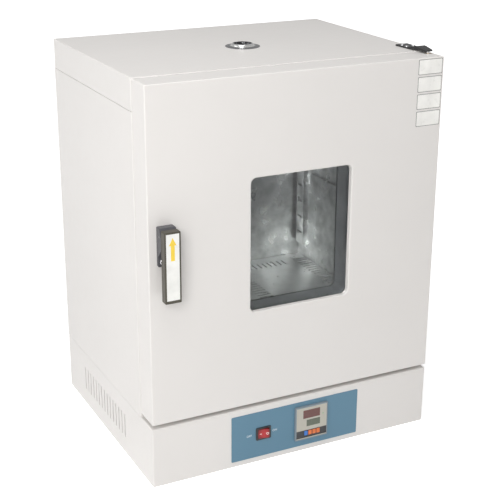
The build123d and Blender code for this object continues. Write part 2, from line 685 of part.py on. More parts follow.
# Insulation: a slab in each side wall, with a pocket for the latch on the left, and slabs
# behind, above and below the liner
liner_half_x = chamber_width / 2 + LINER
lagging_out_x = WIDTH / 2 - SKIN - LAGGING_FIT
lagging_front_y = frame_back_y + SKIN + LAGGING_FIT
lagging_back_y = back_y - 2 * SKIN - LAGGING_FIT
lagging_top_z = chamber_top_z + LINER
pocket_width = STRIKE_WIDTH + 2 * LAGGING_FIT
with BuildPart() as side_insulation:
    with BuildSketch(Plane.XY.offset(BASE_HEIGHT)):
        side_mid_x = (liner_half_x + lagging_out_x + LAGGING_FIT) / 2
        side_width = lagging_out_x - liner_half_x - LAGGING_FIT
        with Locations((side_mid_x, (lagging_front_y + lagging_back_y) / 2)):
            Rectangle(side_width, lagging_back_y - lagging_front_y)
        with Locations((-side_mid_x, (lagging_front_y + lagging_back_y) / 2)):
            Rectangle(side_width, lagging_back_y - lagging_front_y)
    extrude(amount=lagging_top_z - BASE_HEIGHT)
    with BuildSketch(front_plane(lagging_front_y)):
        with Locations((handle_x, (tongue_slot_low + strike_slot_high) / 2)):
            Rectangle(pocket_width, strike_slot_high - tongue_slot_low + 2 * STRIKE_WIDTH)
    extrude(amount=-3 * TONGUE_LAP, mode=Mode.SUBTRACT)
side_insulation.part.label = "side_insulation"
export_step(side_insulation.part, "parts/side_insulation.step")

with BuildPart() as rear_insulation:
    with BuildSketch(Plane.XY.offset(BASE_HEIGHT)):
        with Locations((0, (chamber_back_y + LINER + lagging_back_y) / 2)):
            Rectangle(2 * liner_half_x, lagging_back_y - chamber_back_y - LINER - 2 * FIT)
    extrude(amount=lagging_top_z - BASE_HEIGHT)
    with BuildSketch(front_plane(chamber_back_y, probe_x, probe_z)):
        Circle(PROBE_RADIUS + HOLE_GAP)
    extrude(amount=-REAR_WALL, mode=Mode.SUBTRACT)
rear_insulation.part.label = "rear_insulation"
export_step(rear_insulation.part, "parts/rear_insulation.step")

with BuildPart() as top_insulation:
    with BuildSketch(Plane.XY.offset(lagging_top_z + LAGGING_FIT)):
        with Locations((0, cabinet_mid_y)):
            RectangleRounded(2 * lagging_out_x, cabinet_depth - 2 * (SKIN + LAGGING_FIT), BEND)
        with Locations(vent_at):
            Circle(VENT_TUBE_RADIUS + VENT_TUBE_WALL + HOLE_GAP, mode=Mode.SUBTRACT)
    extrude(amount=TOP_WALL - LINER - SKIN - 2 * LAGGING_FIT)
top_insulation.part.label = "top_insulation"
export_step(top_insulation.part, "parts/top_insulation.step")

with BuildPart() as bottom_insulation:
    with BuildSketch(Plane.XY.offset(BASE_HEIGHT)):
        with Locations((0, (frame_back_y + chamber_back_y) / 2)):
            Rectangle(2 * liner_half_x, liner_depth - 2 * LAGGING_FIT)
        with Locations((0, fan_y)):
            Circle(shaft_hole, mode=Mode.SUBTRACT)
        for side in (-1, 1):
            for reach in (HEATER_OFFSET, HEATER_OFFSET + HEATER_SPREAD):
                with Locations((side * reach, heater_low_y)):
                    Circle(heater_hole, mode=Mode.SUBTRACT)
    extrude(amount=BOTTOM_WALL - LINER - FIT)
bottom_insulation.part.label = "bottom_insulation"
export_step(bottom_insulation.part, "parts/bottom_insulation.step")

# Air floor: an upturned tray over the heaters, with slots along the sides, the middle and the back
floor_half_x = chamber_width / 2 - FLOOR_FIT
floor_front_y = cabinet_front_y + FLOOR_FIT
floor_back_y = chamber_back_y - FLOOR_FIT
side_slot_x = floor_half_x - FLOOR_SIDE_MARGIN - FLOOR_SIDE_SLOT / 2
inner_slot_x = FLOOR_INNER_EDGE - FLOOR_SIDE_SLOT / 2
side_slots_y = floor_back_y - FLOOR_BACK_MARGIN - FLOOR_SLOT_PITCH * FLOOR_SIDE_COUNT / 2
back_slots_x = (side_slot_x + inner_slot_x) / 2
back_slot_y = floor_back_y - FLOOR_BACK_MARGIN - FLOOR_BACK_SLOT / 2
with BuildPart() as floor_plate:
    with BuildSketch(Plane.XY.offset(liner_floor_z)):
        with Locations((0, (floor_front_y + floor_back_y) / 2)):
            Rectangle(2 * floor_half_x, floor_back_y - floor_front_y)
    extrude(amount=PLENUM)
    offset(amount=-LINER, openings=floor_plate.faces().sort_by(Axis.Z)[0])
    with BuildSketch(Plane.XY.offset(floor_z)):
        for x in (-side_slot_x, -inner_slot_x, inner_slot_x, side_slot_x):
            with Locations((x, side_slots_y)):
                with GridLocations(0, FLOOR_SLOT_PITCH, 1, FLOOR_SIDE_COUNT):
                    Rectangle(FLOOR_SIDE_SLOT, FLOOR_SLOT_WIDTH)
        with Locations((-back_slots_x, back_slot_y), (back_slots_x, back_slot_y)):
            with GridLocations(FLOOR_SLOT_PITCH, 0, FLOOR_BACK_COUNT, 1):
                Rectangle(FLOOR_SLOT_WIDTH, FLOOR_BACK_SLOT)
    extrude(amount=-LINER, mode=Mode.SUBTRACT)
floor_plate.part.label = "floor_plate"
export_step(floor_plate.part, "parts/floor_plate.step")

# Shelf uprights: four channels on the side walls, each with a column of shelf slots
upright_low_z = floor_z + UPRIGHT_FOOT
upright_high_z = chamber_top_z - UPRIGHT_HEAD
upright_height = upright_high_z - upright_low_z
upright_inner_x = chamber_width / 2 - UPRIGHT_DEPTH
upright_back_y = chamber_back_y - UPRIGHT_BACK_GAP - UPRIGHT_WIDTH / 2
upright_front_y = frame_back_y + UPRIGHT_BACK_GAP + UPRIGHT_WIDTH / 2
shelf_slots = int((upright_height - SHELF_PITCH / 2) / SHELF_PITCH)
with BuildPart() as shelf_uprights:
    with BuildSketch(Plane.XY.offset(upright_low_z)):
        for y in (upright_front_y, upright_back_y):
            with Locations((upright_inner_x + UPRIGHT_DEPTH / 2, y)):
                Rectangle(UPRIGHT_DEPTH, UPRIGHT_WIDTH)
            with Locations((upright_inner_x + UPRIGHT_DEPTH / 2 + LINER, y)):
                Rectangle(UPRIGHT_DEPTH, UPRIGHT_WIDTH - 2 * LINER, mode=Mode.SUBTRACT)
    extrude(amount=upright_height)
    with BuildSketch(side_plane(upright_inner_x)):
        for y in (upright_front_y, upright_back_y):
            with Locations((y, (upright_low_z + upright_high_z) / 2)):
                with GridLocations(0, SHELF_PITCH, 1, shelf_slots):
                    Rectangle(UPRIGHT_WIDTH - 2 * SHELF_SLOT_MARGIN, SHELF_SLOT_HEIGHT)
    extrude(amount=LINER, mode=Mode.SUBTRACT)
    mirror(about=Plane.YZ)
shelf_uprights.part.label = "shelf_uprights"
export_step(shelf_uprights.part, "parts/shelf_uprights.step")

# Air guides: shallow pans on the side walls, whose folded rims stand against the liner
guide_back_y = chamber_back_y - GUIDE_BACK_GAP
guide_mid_y = guide_back_y - GUIDE_LENGTH / 2
guide_mid_z = floor_z + GUIDE_FOOT + GUIDE_HEIGHT / 2
with BuildPart() as air_guides:
    with BuildSketch(side_plane(chamber_width / 2)):
        with Locations((guide_mid_y, guide_mid_z)):
            Rectangle(GUIDE_LENGTH, GUIDE_HEIGHT)
    extrude(amount=-GUIDE_DEPTH)
    offset(amount=-LINER, openings=air_guides.faces().sort_by(Axis.X)[-1])
    mirror(about=Plane.YZ)
air_guides.part.label = "air_guides"
export_step(air_guides.part, "parts/air_guides.step")

# Heater elements: on each side a tube that rises through the liner floor, runs back and returns
heater_z = liner_floor_z + HEATER_HEIGHT
heater_tail_z = BASE_HEIGHT - HEATER_TAIL
with BuildPart() as heater_elements:
    near_x = HEATER_OFFSET
    far_x = HEATER_OFFSET + HEATER_SPREAD
    with BuildLine() as heater_route:
        FilletPolyline(
            (near_x, heater_low_y, heater_tail_z),
            (near_x, heater_low_y, heater_z),
            (near_x, heater_low_y + HEATER_RUN, heater_z),
            (far_x, heater_low_y + HEATER_RUN, heater_z),
            (far_x, heater_low_y, heater_z),
            (far_x, heater_low_y, heater_tail_z),
            radius=HEATER_BEND,
        )
    with BuildSketch(Plane(origin=(near_x, heater_low_y, heater_tail_z), z_dir=(0, 0, 1))):
        Circle(HEATER_TUBE_RADIUS)
    sweep(path=heater_route.wires()[0])
    mirror(about=Plane.YZ)
heater_elements.part.label = "heater_elements"
export_step(heater_elements.part, "parts/heater_elements.step")

# Temperature probe: a closed sheath through the back wall with its clamping flange
with BuildPart() as temperature_probe:
    with BuildSketch(front_plane(chamber_back_y + LINER + REAR_WALL / 3, probe_x, probe_z)):
        Circle(PROBE_RADIUS)
    extrude(amount=PROBE_LENGTH + LINER + REAR_WALL / 3)
    fillet(temperature_probe.faces().sort_by(Axis.Y)[0].edges(), PROBE_RADIUS - EDGE)
    with BuildSketch(front_plane(chamber_back_y, probe_x, probe_z)):
        Circle(PROBE_FLANGE)
    extrude(amount=PROBE_RADIUS)
temperature_probe.part.label = "temperature_probe"
export_step(temperature_probe.part, "parts/temperature_probe.step")

# Fan motor: a round housing bored for the shaft, its two bushes and the bracket that hangs it
# from the top of the base
motor_low_z = BASE_SKIN + MOTOR_FLOOR_GAP
motor_high_z = motor_low_z + MOTOR_HEIGHT
bush_radius = SHAFT_RADIUS + RUNNING + BUSH_WALL
with BuildPart() as motor_housing:
    with BuildSketch(Plane.XY.offset(motor_low_z)):
        with Locations((0, fan_y)):
            Circle(MOTOR_RADIUS)
    extrude(amount=MOTOR_HEIGHT)
    chamfer(motor_housing.edges().filter_by(GeomType.CIRCLE), BEND)
    with BuildSketch(Plane.XY.offset(motor_low_z)):
        with Locations((0, fan_y)):
            Circle(SHAFT_RADIUS + 1)
    extrude(amount=MOTOR_HEIGHT, mode=Mode.SUBTRACT)
    for level, way in ((motor_low_z, 1), (motor_high_z, -1)):
        with BuildSketch(Plane.XY.offset(level)):
            with Locations((0, fan_y)):
                Circle(bush_radius)
        extrude(amount=way * BUSH_LENGTH, mode=Mode.SUBTRACT)
motor_housing.part.label = "motor_housing"
export_step(motor_housing.part, "parts/motor_housing.step")

with BuildPart() as shaft_bushes:
    for level in (motor_low_z, motor_high_z - BUSH_LENGTH):
        with BuildSketch(Plane.XY.offset(level)):
            with Locations((0, fan_y)):
                Circle(bush_radius)
                Circle(SHAFT_RADIUS + RUNNING, mode=Mode.SUBTRACT)
        extrude(amount=BUSH_LENGTH)
shaft_bushes.part.label = "shaft_bushes"
export_step(shaft_bushes.part, "parts/shaft_bushes.step")

motor_post_x = MOTOR_RADIUS - BEND - MOTOR_POST_RADIUS
with BuildPart() as motor_bracket:
    with BuildSketch(Plane.XY.offset(motor_high_z)):
        with Locations((0, fan_y)):
            Circle(MOTOR_RADIUS)
            Circle(MOTOR_BOSS, mode=Mode.SUBTRACT)
    extrude(amount=MOTOR_PLATE)
    with BuildSketch(Plane.XY.offset(motor_high_z)):
        with Locations((0, fan_y)):
            with PolarLocations(motor_post_x, 4, 45):
                Circle(MOTOR_POST_RADIUS)
    extrude(amount=BASE_HEIGHT - BASE_SKIN - motor_high_z)
motor_bracket.part.label = "motor_bracket"
export_step(motor_bracket.part, "parts/motor_bracket.step")

# Fan: a shaft with a hub seat, and a centrifugal impeller with curved blades between two plates
impeller_z = liner_floor_z + IMPELLER_LIFT
shaft_low_z = motor_low_z - BEND
with BuildPart() as fan_shaft:
    with BuildSketch(Plane.XY.offset(shaft_low_z)):
        with Locations((0, fan_y)):
            Circle(SHAFT_RADIUS)
    extrude(amount=impeller_z + IMPELLER_HUB - shaft_low_z)
    chamfer(fan_shaft.edges().filter_by(GeomType.CIRCLE), EDGE)
fan_shaft.part.label = "fan_shaft"
export_step(fan_shaft.part, "parts/fan_shaft.step")

blade_span = IMPELLER_RADIUS - IMPELLER_INNER_RADIUS
lean = math.radians(BLADE_LEAN)
blade_tip_radius = IMPELLER_RADIUS - BLADE_THICKNESS
blade_tip = (blade_tip_radius * math.cos(lean), blade_tip_radius * math.sin(lean))
blade_mid_radius = IMPELLER_RADIUS - blade_span / 2
blade_mid = (blade_mid_radius * math.cos(lean * BLADE_BOW), blade_mid_radius * math.sin(lean * BLADE_BOW))
fan_plane = Plane(origin=(0, fan_y, impeller_z), x_dir=(1, 0, 0), z_dir=(0, 0, 1))
with BuildPart() as fan_impeller:
    with BuildSketch(fan_plane):
        Circle(IMPELLER_RADIUS)
    extrude(amount=IMPELLER_SHEET)
    with BuildSketch(fan_plane):
        Circle(IMPELLER_HUB)
    extrude(amount=IMPELLER_HUB)
    with BuildSketch(fan_plane.offset(IMPELLER_SHEET)):
        with BuildLine():
            spine = ThreePointArc((IMPELLER_INNER_RADIUS, 0), blade_mid, blade_tip)
            offset(spine, amount=BLADE_THICKNESS / 2, kind=Kind.ARC, side=Side.BOTH)
        blade = make_face(mode=Mode.PRIVATE)
        with PolarLocations(0, BLADE_COUNT):
            add(blade)
    extrude(amount=IMPELLER_HEIGHT - 2 * IMPELLER_SHEET)
    with BuildSketch(fan_plane.offset(IMPELLER_HEIGHT - IMPELLER_SHEET)):
        Circle(IMPELLER_RADIUS)
        Circle(IMPELLER_INNER_RADIUS, mode=Mode.SUBTRACT)
    extrude(amount=IMPELLER_SHEET)
    with BuildSketch(fan_plane):
        Circle(SHAFT_RADIUS)
    extrude(amount=IMPELLER_HUB, mode=Mode.SUBTRACT)
fan_impeller.part.label = "fan_impeller"
export_step(fan_impeller.part, "parts/fan_impeller.step")

# Exhaust vent: the tube through the top insulation, the turned flange with its rolled ring, and
# the damper disc that turns in the ring's well to open and close the holes
with BuildPart() as vent_tube:
    with BuildSketch(Plane.XY.offset(vent_floor_z)):
        with Locations(vent_at):
            Circle(VENT_TUBE_RADIUS + VENT_TUBE_WALL)
            Circle(VENT_TUBE_RADIUS, mode=Mode.SUBTRACT)
    extrude(amount=HEIGHT - SKIN - vent_floor_z)
vent_tube.part.label = "vent_tube"
export_step(vent_tube.part, "parts/vent_tube.step")

ring_shoulder = VENT_RING_HEIGHT - VENT_RING_ROLL
ring_top_radius = VENT_RING_RADIUS - VENT_RING_ROLL
roll_mid = VENT_RING_ROLL * math.sin(math.radians(45))
with BuildPart() as vent_flange:
    with BuildSketch(front_plane(VENT_Y, VENT_X, HEIGHT)):
        with BuildLine():
            Polyline(
                (ring_top_radius, VENT_RING_HEIGHT),
                (VENT_WELL_RADIUS, VENT_RING_HEIGHT),
                (VENT_WELL_RADIUS, VENT_PLATE),
                (0, VENT_PLATE),
                (0, 0),
                (VENT_FLANGE_RADIUS, 0),
                (VENT_FLANGE_RADIUS, VENT_FLANGE_EDGE),
                (VENT_RING_RADIUS, VENT_FLANGE_RISE),
                (VENT_RING_RADIUS, ring_shoulder),
            )
            ThreePointArc(
                (VENT_RING_RADIUS, ring_shoulder),
                (ring_top_radius + roll_mid, ring_shoulder + roll_mid),
                (ring_top_radius, VENT_RING_HEIGHT),
            )
        make_face()
    revolve(axis=Axis((VENT_X, VENT_Y, 0), (0, 0, 1)))
    with BuildSketch(Plane.XY.offset(HEIGHT)):
        with Locations(vent_at):
            Circle(DAMPER_STEM_RADIUS + RUNNING)
            with PolarLocations(VENT_HOLE_CIRCLE, VENT_HOLE_COUNT):
                Circle(VENT_HOLE_RADIUS)
    extrude(amount=VENT_PLATE, mode=Mode.SUBTRACT)
vent_flange.part.label = "vent_flange"
export_step(vent_flange.part, "parts/vent_flange.step")

damper_z = HEIGHT + VENT_PLATE + RUNNING
with BuildPart() as vent_damper:
    with BuildSketch(Plane.XY.offset(damper_z)):
        with Locations(vent_at):
            Circle(DAMPER_RADIUS)
            with PolarLocations(VENT_HOLE_CIRCLE, VENT_HOLE_COUNT):
                Circle(VENT_HOLE_RADIUS, mode=Mode.SUBTRACT)
    extrude(amount=DAMPER_THICKNESS)
    with BuildSketch(Plane.XY.offset(damper_z + DAMPER_THICKNESS)):
        with Locations(vent_at):
            Circle(DAMPER_KNOB_RADIUS)
    extrude(amount=DAMPER_KNOB_HEIGHT)
    fillet(vent_damper.edges().sort_by(Axis.Z)[-1], DAMPER_KNOB_RADIUS / 2)
    with BuildSketch(Plane.XY.offset(damper_z)):
        with Locations(vent_at):
            Circle(DAMPER_STEM_RADIUS)
    extrude(amount=-(VENT_PLATE + RUNNING + DAMPER_STEM_END))
vent_damper.part.label = "vent_damper"
export_step(vent_damper.part, "parts/vent_damper.step")

# Door skin: a painted tray with the window opening and the return folded in round it
window_z = door_mid_z + WINDOW_RISE
hinge_at = (hinge_x, hinge_y)
with BuildPart() as door_skin:
    with BuildSketch(front_plane(door_back_y, z=door_mid_z)):
        Rectangle(2 * door_half_x, door_height)
    extrude(amount=DOOR_THICKNESS)
    fillet(door_skin.edges().filter_by(Axis.Y), BEND)
    fillet(door_skin.faces().sort_by(Axis.Y)[0].edges(), BEND - SKIN / 2)
    offset(amount=-SKIN, openings=door_skin.faces().sort_by(Axis.Y)[-1])
    for edge, depth in ((WINDOW_ROLL, WINDOW_ROLL), (SKIN, WINDOW_RETURN)):
        with BuildSketch(front_plane(door_front_y, WINDOW_SHIFT, window_z)):
            RectangleRounded(WINDOW_WIDTH + 2 * edge, WINDOW_HEIGHT + 2 * edge, WINDOW_RADIUS + edge)
        extrude(amount=-depth)
    with BuildSketch(front_plane(door_front_y, WINDOW_SHIFT, window_z)):
        RectangleRounded(WINDOW_WIDTH, WINDOW_HEIGHT, WINDOW_RADIUS)
    extrude(amount=-WINDOW_RETURN, mode=Mode.SUBTRACT)
    fillet(door_skin.faces().sort_by(Axis.Y)[0].inner_wires()[0].edges(), WINDOW_ROLL - EDGE)
    with BuildSketch(front_plane(door_front_y)):
        with Locations((handle_x, (tongue_slot_high + pivot_z - 2 * TONGUE_HEIGHT) / 2)):
            Rectangle(HANDLE_LUG_WIDTH, tongue_slot_high - pivot_z + 2 * TONGUE_HEIGHT)
    extrude(amount=-SKIN, mode=Mode.SUBTRACT)
    with BuildSketch(Plane.XY.offset(door_bottom_z)):
        with Locations(hinge_at):
            Circle(HINGE_PIN_RADIUS + RUNNING + HINGE_BUSH_WALL)
    extrude(amount=door_height, mode=Mode.SUBTRACT)
door_skin.part.label = "door_skin"
export_step(door_skin.part, "parts/door_skin.step")

# Door inner panel: a bright pan that closes the back of the tray
inner_half_x = door_half_x - SKIN - FIT
inner_height = door_height - 2 * (SKIN + FIT)
glass_width = WINDOW_WIDTH + 2 * GLASS_LAP
glass_height = WINDOW_HEIGHT + 2 * GLASS_LAP
with BuildPart() as door_inner_panel:
    with BuildSketch(front_plane(door_back_y, z=door_mid_z)):
        RectangleRounded(2 * inner_half_x, inner_height, BEND)
    extrude(amount=COVER_LIP)
    offset(amount=-LINER, openings=door_inner_panel.faces().sort_by(Axis.Y)[0])
    with BuildSketch(front_plane(door_back_y)):
        with Locations((WINDOW_SHIFT, window_z)):
            Rectangle(glass_width + 2 * FIT, glass_height + 2 * FIT)
        with Locations((handle_x, (tongue_slot_low + tongue_slot_high) / 2)):
            Rectangle(tongue_slot_width, tongue_slot_high - tongue_slot_low)
    extrude(amount=LINER, mode=Mode.SUBTRACT)
    with BuildSketch(Plane.XY.offset(door_bottom_z)):
        with Locations(hinge_at):
            Circle(HINGE_PIN_RADIUS + RUNNING + HINGE_BUSH_WALL)
    extrude(amount=door_height, mode=Mode.SUBTRACT)
door_inner_panel.part.label = "door_inner_panel"
export_step(door_inner_panel.part, "parts/door_inner_panel.step")

# Window: outer glass on the return, jamb between the panes, inner glass and its retainer
with BuildPart() as outer_glass:
    with BuildSketch(front_plane(outer_glass_y + GLASS, WINDOW_SHIFT, window_z)):
        RectangleRounded(glass_width, glass_height, GLASS)
    extrude(amount=GLASS)
outer_glass.part.label = "outer_glass"
export_step(outer_glass.part, "parts/outer_glass.step")

with BuildPart() as inner_glass:
    with BuildSketch(front_plane(inner_glass_y + GLASS, WINDOW_SHIFT, window_z)):
        RectangleRounded(glass_width, glass_height, GLASS)
    extrude(amount=GLASS)
inner_glass.part.label = "inner_glass"
export_step(inner_glass.part, "parts/inner_glass.step")

with BuildPart() as window_jamb:
    with BuildSketch(front_plane(inner_glass_y, WINDOW_SHIFT, window_z)):
        Rectangle(WINDOW_WIDTH + 2 * SKIN, WINDOW_HEIGHT + 2 * SKIN)
        RectangleRounded(WINDOW_WIDTH, WINDOW_HEIGHT, WINDOW_RADIUS, mode=Mode.SUBTRACT)
    extrude(amount=jamb_depth)
    for level, way in ((jamb_front_y, -1), (inner_glass_y, 1)):
        with BuildSketch(front_plane(level, WINDOW_SHIFT, window_z)):
            Rectangle(glass_width, glass_height)
            Rectangle(WINDOW_WIDTH + SKIN, WINDOW_HEIGHT + SKIN, mode=Mode.SUBTRACT)
        extrude(amount=way * SKIN)
window_jamb.part.label = "window_jamb"
export_step(window_jamb.part, "parts/window_jamb.step")

with BuildPart() as window_retainer:
    with BuildSketch(front_plane(door_back_y, WINDOW_SHIFT, window_z)):
        Rectangle(WINDOW_WIDTH + 2 * RETAINER_WIDTH, WINDOW_HEIGHT + 2 * RETAINER_WIDTH)
        RectangleRounded(WINDOW_WIDTH, WINDOW_HEIGHT, WINDOW_RADIUS, mode=Mode.SUBTRACT)
    extrude(amount=-RETAINER_THICKNESS)
    chamfer(window_retainer.faces().sort_by(Axis.Y)[-1].outer_wire().edges(), EDGE)
window_retainer.part.label = "window_retainer"
export_step(window_retainer.part, "parts/window_retainer.step")

# Door insulation: one slab with an opening round the jamb, a slot for the tongue and a hinge bore
lagging_hole_width = glass_width + 2 * LAGGING_FIT
lagging_hole_height = glass_height + 2 * LAGGING_FIT
with BuildPart() as door_insulation:
    with BuildSketch(front_plane(panel_front_y - FIT)):
        with Locations((0, door_mid_z)):
            RectangleRounded(2 * (inner_half_x - LINER - FIT), inner_height - 2 * (LINER + FIT), BEND)
        with Locations((WINDOW_SHIFT, window_z)):
            Rectangle(lagging_hole_width, lagging_hole_height, mode=Mode.SUBTRACT)
        with Locations((handle_x, (tongue_slot_low + tongue_slot_high) / 2)):
            Rectangle(tongue_slot_width, tongue_slot_high - tongue_slot_low, mode=Mode.SUBTRACT)
        with Locations((hinge_x, door_mid_z)):
            Rectangle(4 * HINGE_BUSH_WALL + 2 * HINGE_PIN_RADIUS, door_height, mode=Mode.SUBTRACT)
    extrude(amount=DOOR_THICKNESS - SKIN - LINER - 2 * FIT)
door_insulation.part.label = "door_insulation"
export_step(door_insulation.part, "parts/door_insulation.step")

# Door seal: a flat rounded ring that closes on the front frame
seal_inner_width = chamber_width + 2 * SEAL_MARGIN
seal_inner_height = liner_height + 2 * SEAL_MARGIN
seal_outer_width = seal_inner_width + 2 * SEAL_WIDTH
seal_outer_height = seal_inner_height + 2 * SEAL_WIDTH
with BuildPart() as door_seal:
    with BuildSketch(front_plane(door_back_y, z=liner_mid_z)):
        RectangleRounded(seal_outer_width, seal_outer_height, 2 * SEAL_WIDTH)
        RectangleRounded(seal_inner_width, seal_inner_height, SEAL_WIDTH, mode=Mode.SUBTRACT)
    extrude(amount=-(SEAL_GAP - STRIKE_GAP))
    chamfer(door_seal.faces().sort_by(Axis.Y)[-1].edges(), SEAL_EDGE)
door_seal.part.label = "door_seal"
export_step(door_seal.part, "parts/door_seal.step")

# Hinge bushes, pressed into the top and bottom edges of the door
with BuildPart() as hinge_bushes:
    for level, way in ((door_bottom_z, 1), (door_top_z, -1)):
        with BuildSketch(Plane.XY.offset(level)):
            with Locations(hinge_at):
                Circle(HINGE_PIN_RADIUS + RUNNING + HINGE_BUSH_WALL)
                Circle(HINGE_PIN_RADIUS + RUNNING, mode=Mode.SUBTRACT)
        extrude(amount=way * HINGE_BUSH_LENGTH)
hinge_bushes.part.label = "hinge_bushes"
export_step(hinge_bushes.part, "parts/hinge_bushes.step")

# Top hinge plate: a flat foot screwed to the cover, cranked up over the door, with an arm that
# narrows and thins towards its tip. The pin sits in a blind hole from below
foot_front_y = hinge_y + HINGE_ARM
foot_back_y = foot_front_y + HINGE_FOOT_LENGTH
foot_right_x = WIDTH / 2 - HINGE_FOOT_INSET
foot_left_x = foot_right_x - HINGE_PLATE_WIDTH
tip_y = hinge_y - HINGE_TIP_REACH
tip_mid_x = hinge_x - HINGE_TIP_SHIFT
arm_low_z = HEIGHT + HINGE_FOOT
arm_top_z = arm_low_z + HINGE_ARM_THICKNESS
crown_y = foot_front_y - HINGE_CRANK
crank_y = crown_y + HINGE_CRANK_RUN
pin_top_z = arm_low_z + HINGE_TIP_THICKNESS - HINGE_PIN_COVER
screw_mid_x = (foot_left_x + foot_right_x) / 2
screw_mid_y = (foot_front_y + foot_back_y) / 2
screw_half = HINGE_SCREW_PITCH / 2
top_screws = [
    (screw_mid_x - screw_half, screw_mid_y + screw_half),
    (screw_mid_x - screw_half, screw_mid_y - screw_half),
    (screw_mid_x + screw_half, screw_mid_y - screw_half),
]
with BuildPart() as top_hinge_plate:
    with BuildSketch(side_plane(foot_left_x)):
        with BuildLine():
            Polyline(
                (foot_back_y, HEIGHT),
                (foot_back_y, arm_low_z),
                (crown_y + HINGE_CROWN, arm_low_z),
                (crown_y, arm_top_z),
                (crown_y - HINGE_CRANK_RUN, arm_top_z),
                (tip_y, arm_low_z + HINGE_TIP_THICKNESS),
                (tip_y, arm_low_z),
                (crown_y, arm_low_z),
                (crank_y, HEIGHT),
                close=True,
            )
        make_face()
    extrude(amount=HINGE_PLATE_WIDTH)
    with BuildSketch(Plane.XY.offset(HEIGHT)) as hinge_outline:
        with BuildLine():
            Polyline(
                (foot_left_x, foot_back_y),
                (foot_right_x, foot_back_y),
                (foot_right_x, crown_y),
                (tip_mid_x + HINGE_TIP_WIDTH / 2, tip_y),
                (tip_mid_x - HINGE_TIP_WIDTH / 2, tip_y),
                close=True,
            )
        make_face()
        fillet(hinge_outline.vertices(), HINGE_CORNER)
    extrude(amount=arm_top_z - HEIGHT, mode=Mode.INTERSECT)
    with BuildSketch(Plane.XY.offset(pin_top_z)):
        with Locations(hinge_at):
            Circle(HINGE_PIN_RADIUS)
    extrude(amount=HEIGHT - pin_top_z, mode=Mode.SUBTRACT)
    with BuildSketch(Plane.XY.offset(HEIGHT)):
        with Locations(*top_screws):
            Circle(HINGE_SCREW_RADIUS)
    extrude(amount=HINGE_FOOT, mode=Mode.SUBTRACT)
top_hinge_plate.part.label = "top_hinge_plate"
export_step(top_hinge_plate.part, "parts/top_hinge_plate.step")

# Bottom hinge plate: lies on the base in front of the cabinet, under the door
bottom_front_y = hinge_y - BOTTOM_HINGE_REACH
bottom_back_y = cabinet_front_y - HINGE_FOOT_INSET
bottom_right_x = WIDTH / 2 - BEND
bottom_left_x = hinge_x - BOTTOM_HINGE_TAIL - HINGE_SCREW_HEAD - BEND
bottom_mid_y = (bottom_front_y + bottom_back_y) / 2
bottom_plate_z = BASE_HEIGHT + BOTTOM_HINGE_PLATE
bottom_screws = [
    (hinge_x - BOTTOM_HINGE_TAIL, bottom_mid_y - screw_half),
    (hinge_x - BOTTOM_HINGE_TAIL, bottom_mid_y + screw_half),
]
with BuildPart() as bottom_hinge_plate:
    with BuildSketch(Plane.XY.offset(BASE_HEIGHT)):
        with Locations(((bottom_left_x + bottom_right_x) / 2, bottom_mid_y)):
            RectangleRounded(bottom_right_x - bottom_left_x, bottom_back_y - bottom_front_y, BEND)
        with Locations(hinge_at):
            Circle(HINGE_PIN_RADIUS, mode=Mode.SUBTRACT)
        with Locations(*bottom_screws):
            Circle(HINGE_SCREW_RADIUS, mode=Mode.SUBTRACT)
    extrude(amount=BOTTOM_HINGE_PLATE)
bottom_hinge_plate.part.label = "bottom_hinge_plate"
export_step(bottom_hinge_plate.part, "parts/bottom_hinge_plate.step")

# Hinge pins: one down into the door from the top plate, one up from the bottom plate
with BuildPart() as hinge_pins:
    with BuildSketch(Plane.XY.offset(door_top_z - HINGE_PIN_LENGTH)):
        with Locations(hinge_at):
            Circle(HINGE_PIN_RADIUS)
    extrude(amount=pin_top_z - door_top_z + HINGE_PIN_LENGTH)
    with BuildSketch(Plane.XY.offset(BASE_HEIGHT)):
        with Locations(hinge_at):
            Circle(HINGE_PIN_RADIUS)
    extrude(amount=DOOR_BOTTOM_GAP + HINGE_PIN_LENGTH)
hinge_pins.part.label = "hinge_pins"
export_step(hinge_pins.part, "parts/hinge_pins.step")

# Hinge washer under the door, and the hinge screws
with BuildPart() as hinge_washer:
    with BuildSketch(Plane.XY.offset(bottom_plate_z)):
        with Locations(hinge_at):
            Circle(HINGE_PIN_RADIUS + HINGE_BUSH_WALL)
            Circle(HINGE_PIN_RADIUS + RUNNING, mode=Mode.SUBTRACT)
    extrude(amount=door_bottom_z - STRIKE_GAP - bottom_plate_z)
hinge_washer.part.label = "hinge_washer"
export_step(hinge_washer.part, "parts/hinge_washer.step")

with BuildPart() as hinge_screws:
    for level, depth, places in (
        (bottom_plate_z, BOTTOM_HINGE_PLATE, bottom_screws),
        (arm_low_z, HINGE_FOOT, top_screws),
    ):
        with BuildSketch(Plane.XY.offset(level)):
            with Locations(*places):
                Circle(HINGE_SCREW_HEAD)
        extrude(amount=HINGE_SCREW_HEIGHT)
        chamfer(hinge_screws.faces().group_by(Axis.Z)[-1].edges(), EDGE * 2)
        with BuildSketch(Plane.XY.offset(level)):
            with Locations(*places):
                Circle(HINGE_SCREW_RADIUS)
        extrude(amount=-depth)
hinge_screws.part.label = "hinge_screws"
export_step(hinge_screws.part, "parts/hinge_screws.step")

